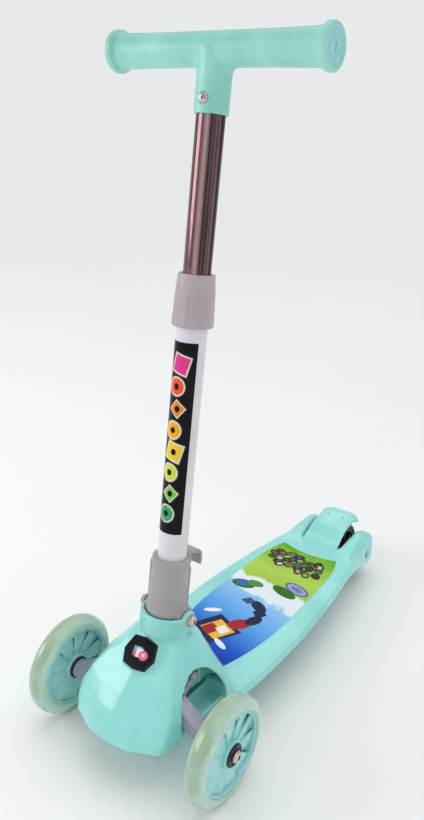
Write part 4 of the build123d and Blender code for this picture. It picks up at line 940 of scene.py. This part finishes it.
# %% Rear tyre
REAR_R, REAR_RIM, REAR_HALF, GROOVE_DEEP = 40.0, 31.1, 22.0, 0.8
rear_half = [(REAR_RIM, 1 - REAR_HALF), (REAR_RIM + 3, -REAR_HALF), (REAR_R - 5, 0.4 - REAR_HALF),
             (REAR_R - 2, 2.4 - REAR_HALF), (REAR_R - 0.6, 6 - REAR_HALF), (REAR_R, -8), (REAR_R, -6.6),
             (REAR_R - GROOVE_DEEP, -6.3), (REAR_R - GROOVE_DEEP, -5.3), (REAR_R, -5.0), (REAR_R, 0)]
rear_line = rear_half + mirrored(rear_half[:-1]) + rear_half[:1]
rear_tyre = lathe("tyre_cast_rear", rear_line, ROUND_STEPS)
smooth_by(rear_tyre)
place(rear_tyre, on_axle(0, REAR_AXLE_Y, REAR_AXLE_Z))
settle(rear_tyre, "wheel_rear", "black_tyre", paints["black_tyre"], "rear_tyre")

# %% [markdown]
# ## Everything that keeps its CAD shape
# Screws, bolts, bearings, springs and films are already the right shape. They keep their meshes and get
# the finish of their slot, except the plugs in the bar's ends, which are moulded in a bluer plastic.

# %% Paint the kept CAD nodes
kept = 0
for name, piece in frame["nodes"].items():
    if piece.hide_render:
        continue
    piece.data.materials.clear()
    finish = "plug_plastic" if name.startswith("end_plug") else slot_of_node[name]
    piece.data.materials.append(paints[finish])
    kept += 1
print("kept CAD nodes", kept)

# %% [markdown]
# ## Floor, light and camera
# The scooter stands on a plain pale floor. One large soft lamp in front makes the long highlights on the
# mouldings, a weaker one fills the other side, a broad sun overhead lights the tops, and a bright sky
# keeps the shadows light. The camera sees the sky at another strength than the one that it lights with.

# %% Floor
bpy.ops.object.select_all(action="DESELECT")
bpy.ops.mesh.primitive_plane_add(size=40, location=(0, 0, -0.0005))
floor = bpy.context.object
floor.name = "floor"
floor_paint = surface("floor_pale", (0.935, 0.935, 0.935), (0.95, 0.95, 0.95), (0.80, 0.90), blotch=3,
                      grain=60, depth=0.02, Specular_IOR_Level=0.1)
floor.data.materials.append(floor_paint)

# %% Lights


def lamp(name, place_at, target, size, power, colour):
    data = bpy.data.lights.new(name, "AREA")
    data.size, data.energy, data.color = size, power, colour
    made = bpy.data.objects.new(name, data)
    made.location = place_at
    made.rotation_euler = (Vector(target) - Vector(place_at)).to_track_quat("-Z", "Y").to_euler()
    bpy.context.scene.collection.objects.link(made)


lamp("key", (-1.7, -1.4, 1.1), (0, 0, 0.25), 1.1, 15, (1.0, 0.99, 0.97))
lamp("fill", (1.9, -0.6, 1.3), (0, 0, 0.3), 1.5, 3, (0.97, 0.99, 1.0))
sky_light = bpy.data.lights.new("ceiling", "SUN")
sky_light.energy, sky_light.angle = 0.9, math.radians(70)
ceiling = bpy.data.objects.new("ceiling", sky_light)
ceiling.rotation_euler = (math.radians(-18), 0, 0)
bpy.context.scene.collection.objects.link(ceiling)
world = bpy.data.worlds.new("studio")
world.use_nodes = True
sky = world.node_tree.nodes["Background"]
sky.inputs["Color"].default_value = (0.97, 0.98, 1.0, 1)
paths = node(world.node_tree, "ShaderNodeLightPath")
SKY_LIGHT, SKY_SEEN = 0.60, 0.835
strength = remap(world.node_tree, paths.outputs["Is Camera Ray"], 0, 1, SKY_LIGHT, SKY_SEEN)
world.node_tree.links.new(strength, sky.inputs["Strength"])
bpy.context.scene.world = world
bpy.context.scene.view_settings.view_transform = "Standard"

# %% Camera
AZIMUTH, ELEVATION, ROLL = math.radians(34.5), math.radians(21), math.radians(2)
CAMERA_PLACE, LENS = (0.434, -0.740, 0.670), 33.19
right = Vector((math.cos(AZIMUTH), math.sin(AZIMUTH), 0))
level = math.cos(ELEVATION)
back = Vector((math.sin(AZIMUTH) * level, -math.cos(AZIMUTH) * level, math.sin(ELEVATION)))
up = back.cross(right)
rolled_right = right * math.cos(ROLL) + up * math.sin(ROLL)
rolled_up = up * math.cos(ROLL) - right * math.sin(ROLL)
camera_data = bpy.data.cameras.new("camera")
camera_data.lens = LENS
camera_data.clip_start, camera_data.clip_end = 0.02, 60
camera = bpy.data.objects.new("camera", camera_data)
bpy.context.scene.collection.objects.link(camera)
turned = Matrix((rolled_right, rolled_up, back)).transposed().to_4x4()
camera.matrix_world = Matrix.Translation(CAMERA_PLACE) @ turned
bpy.context.scene.camera = camera
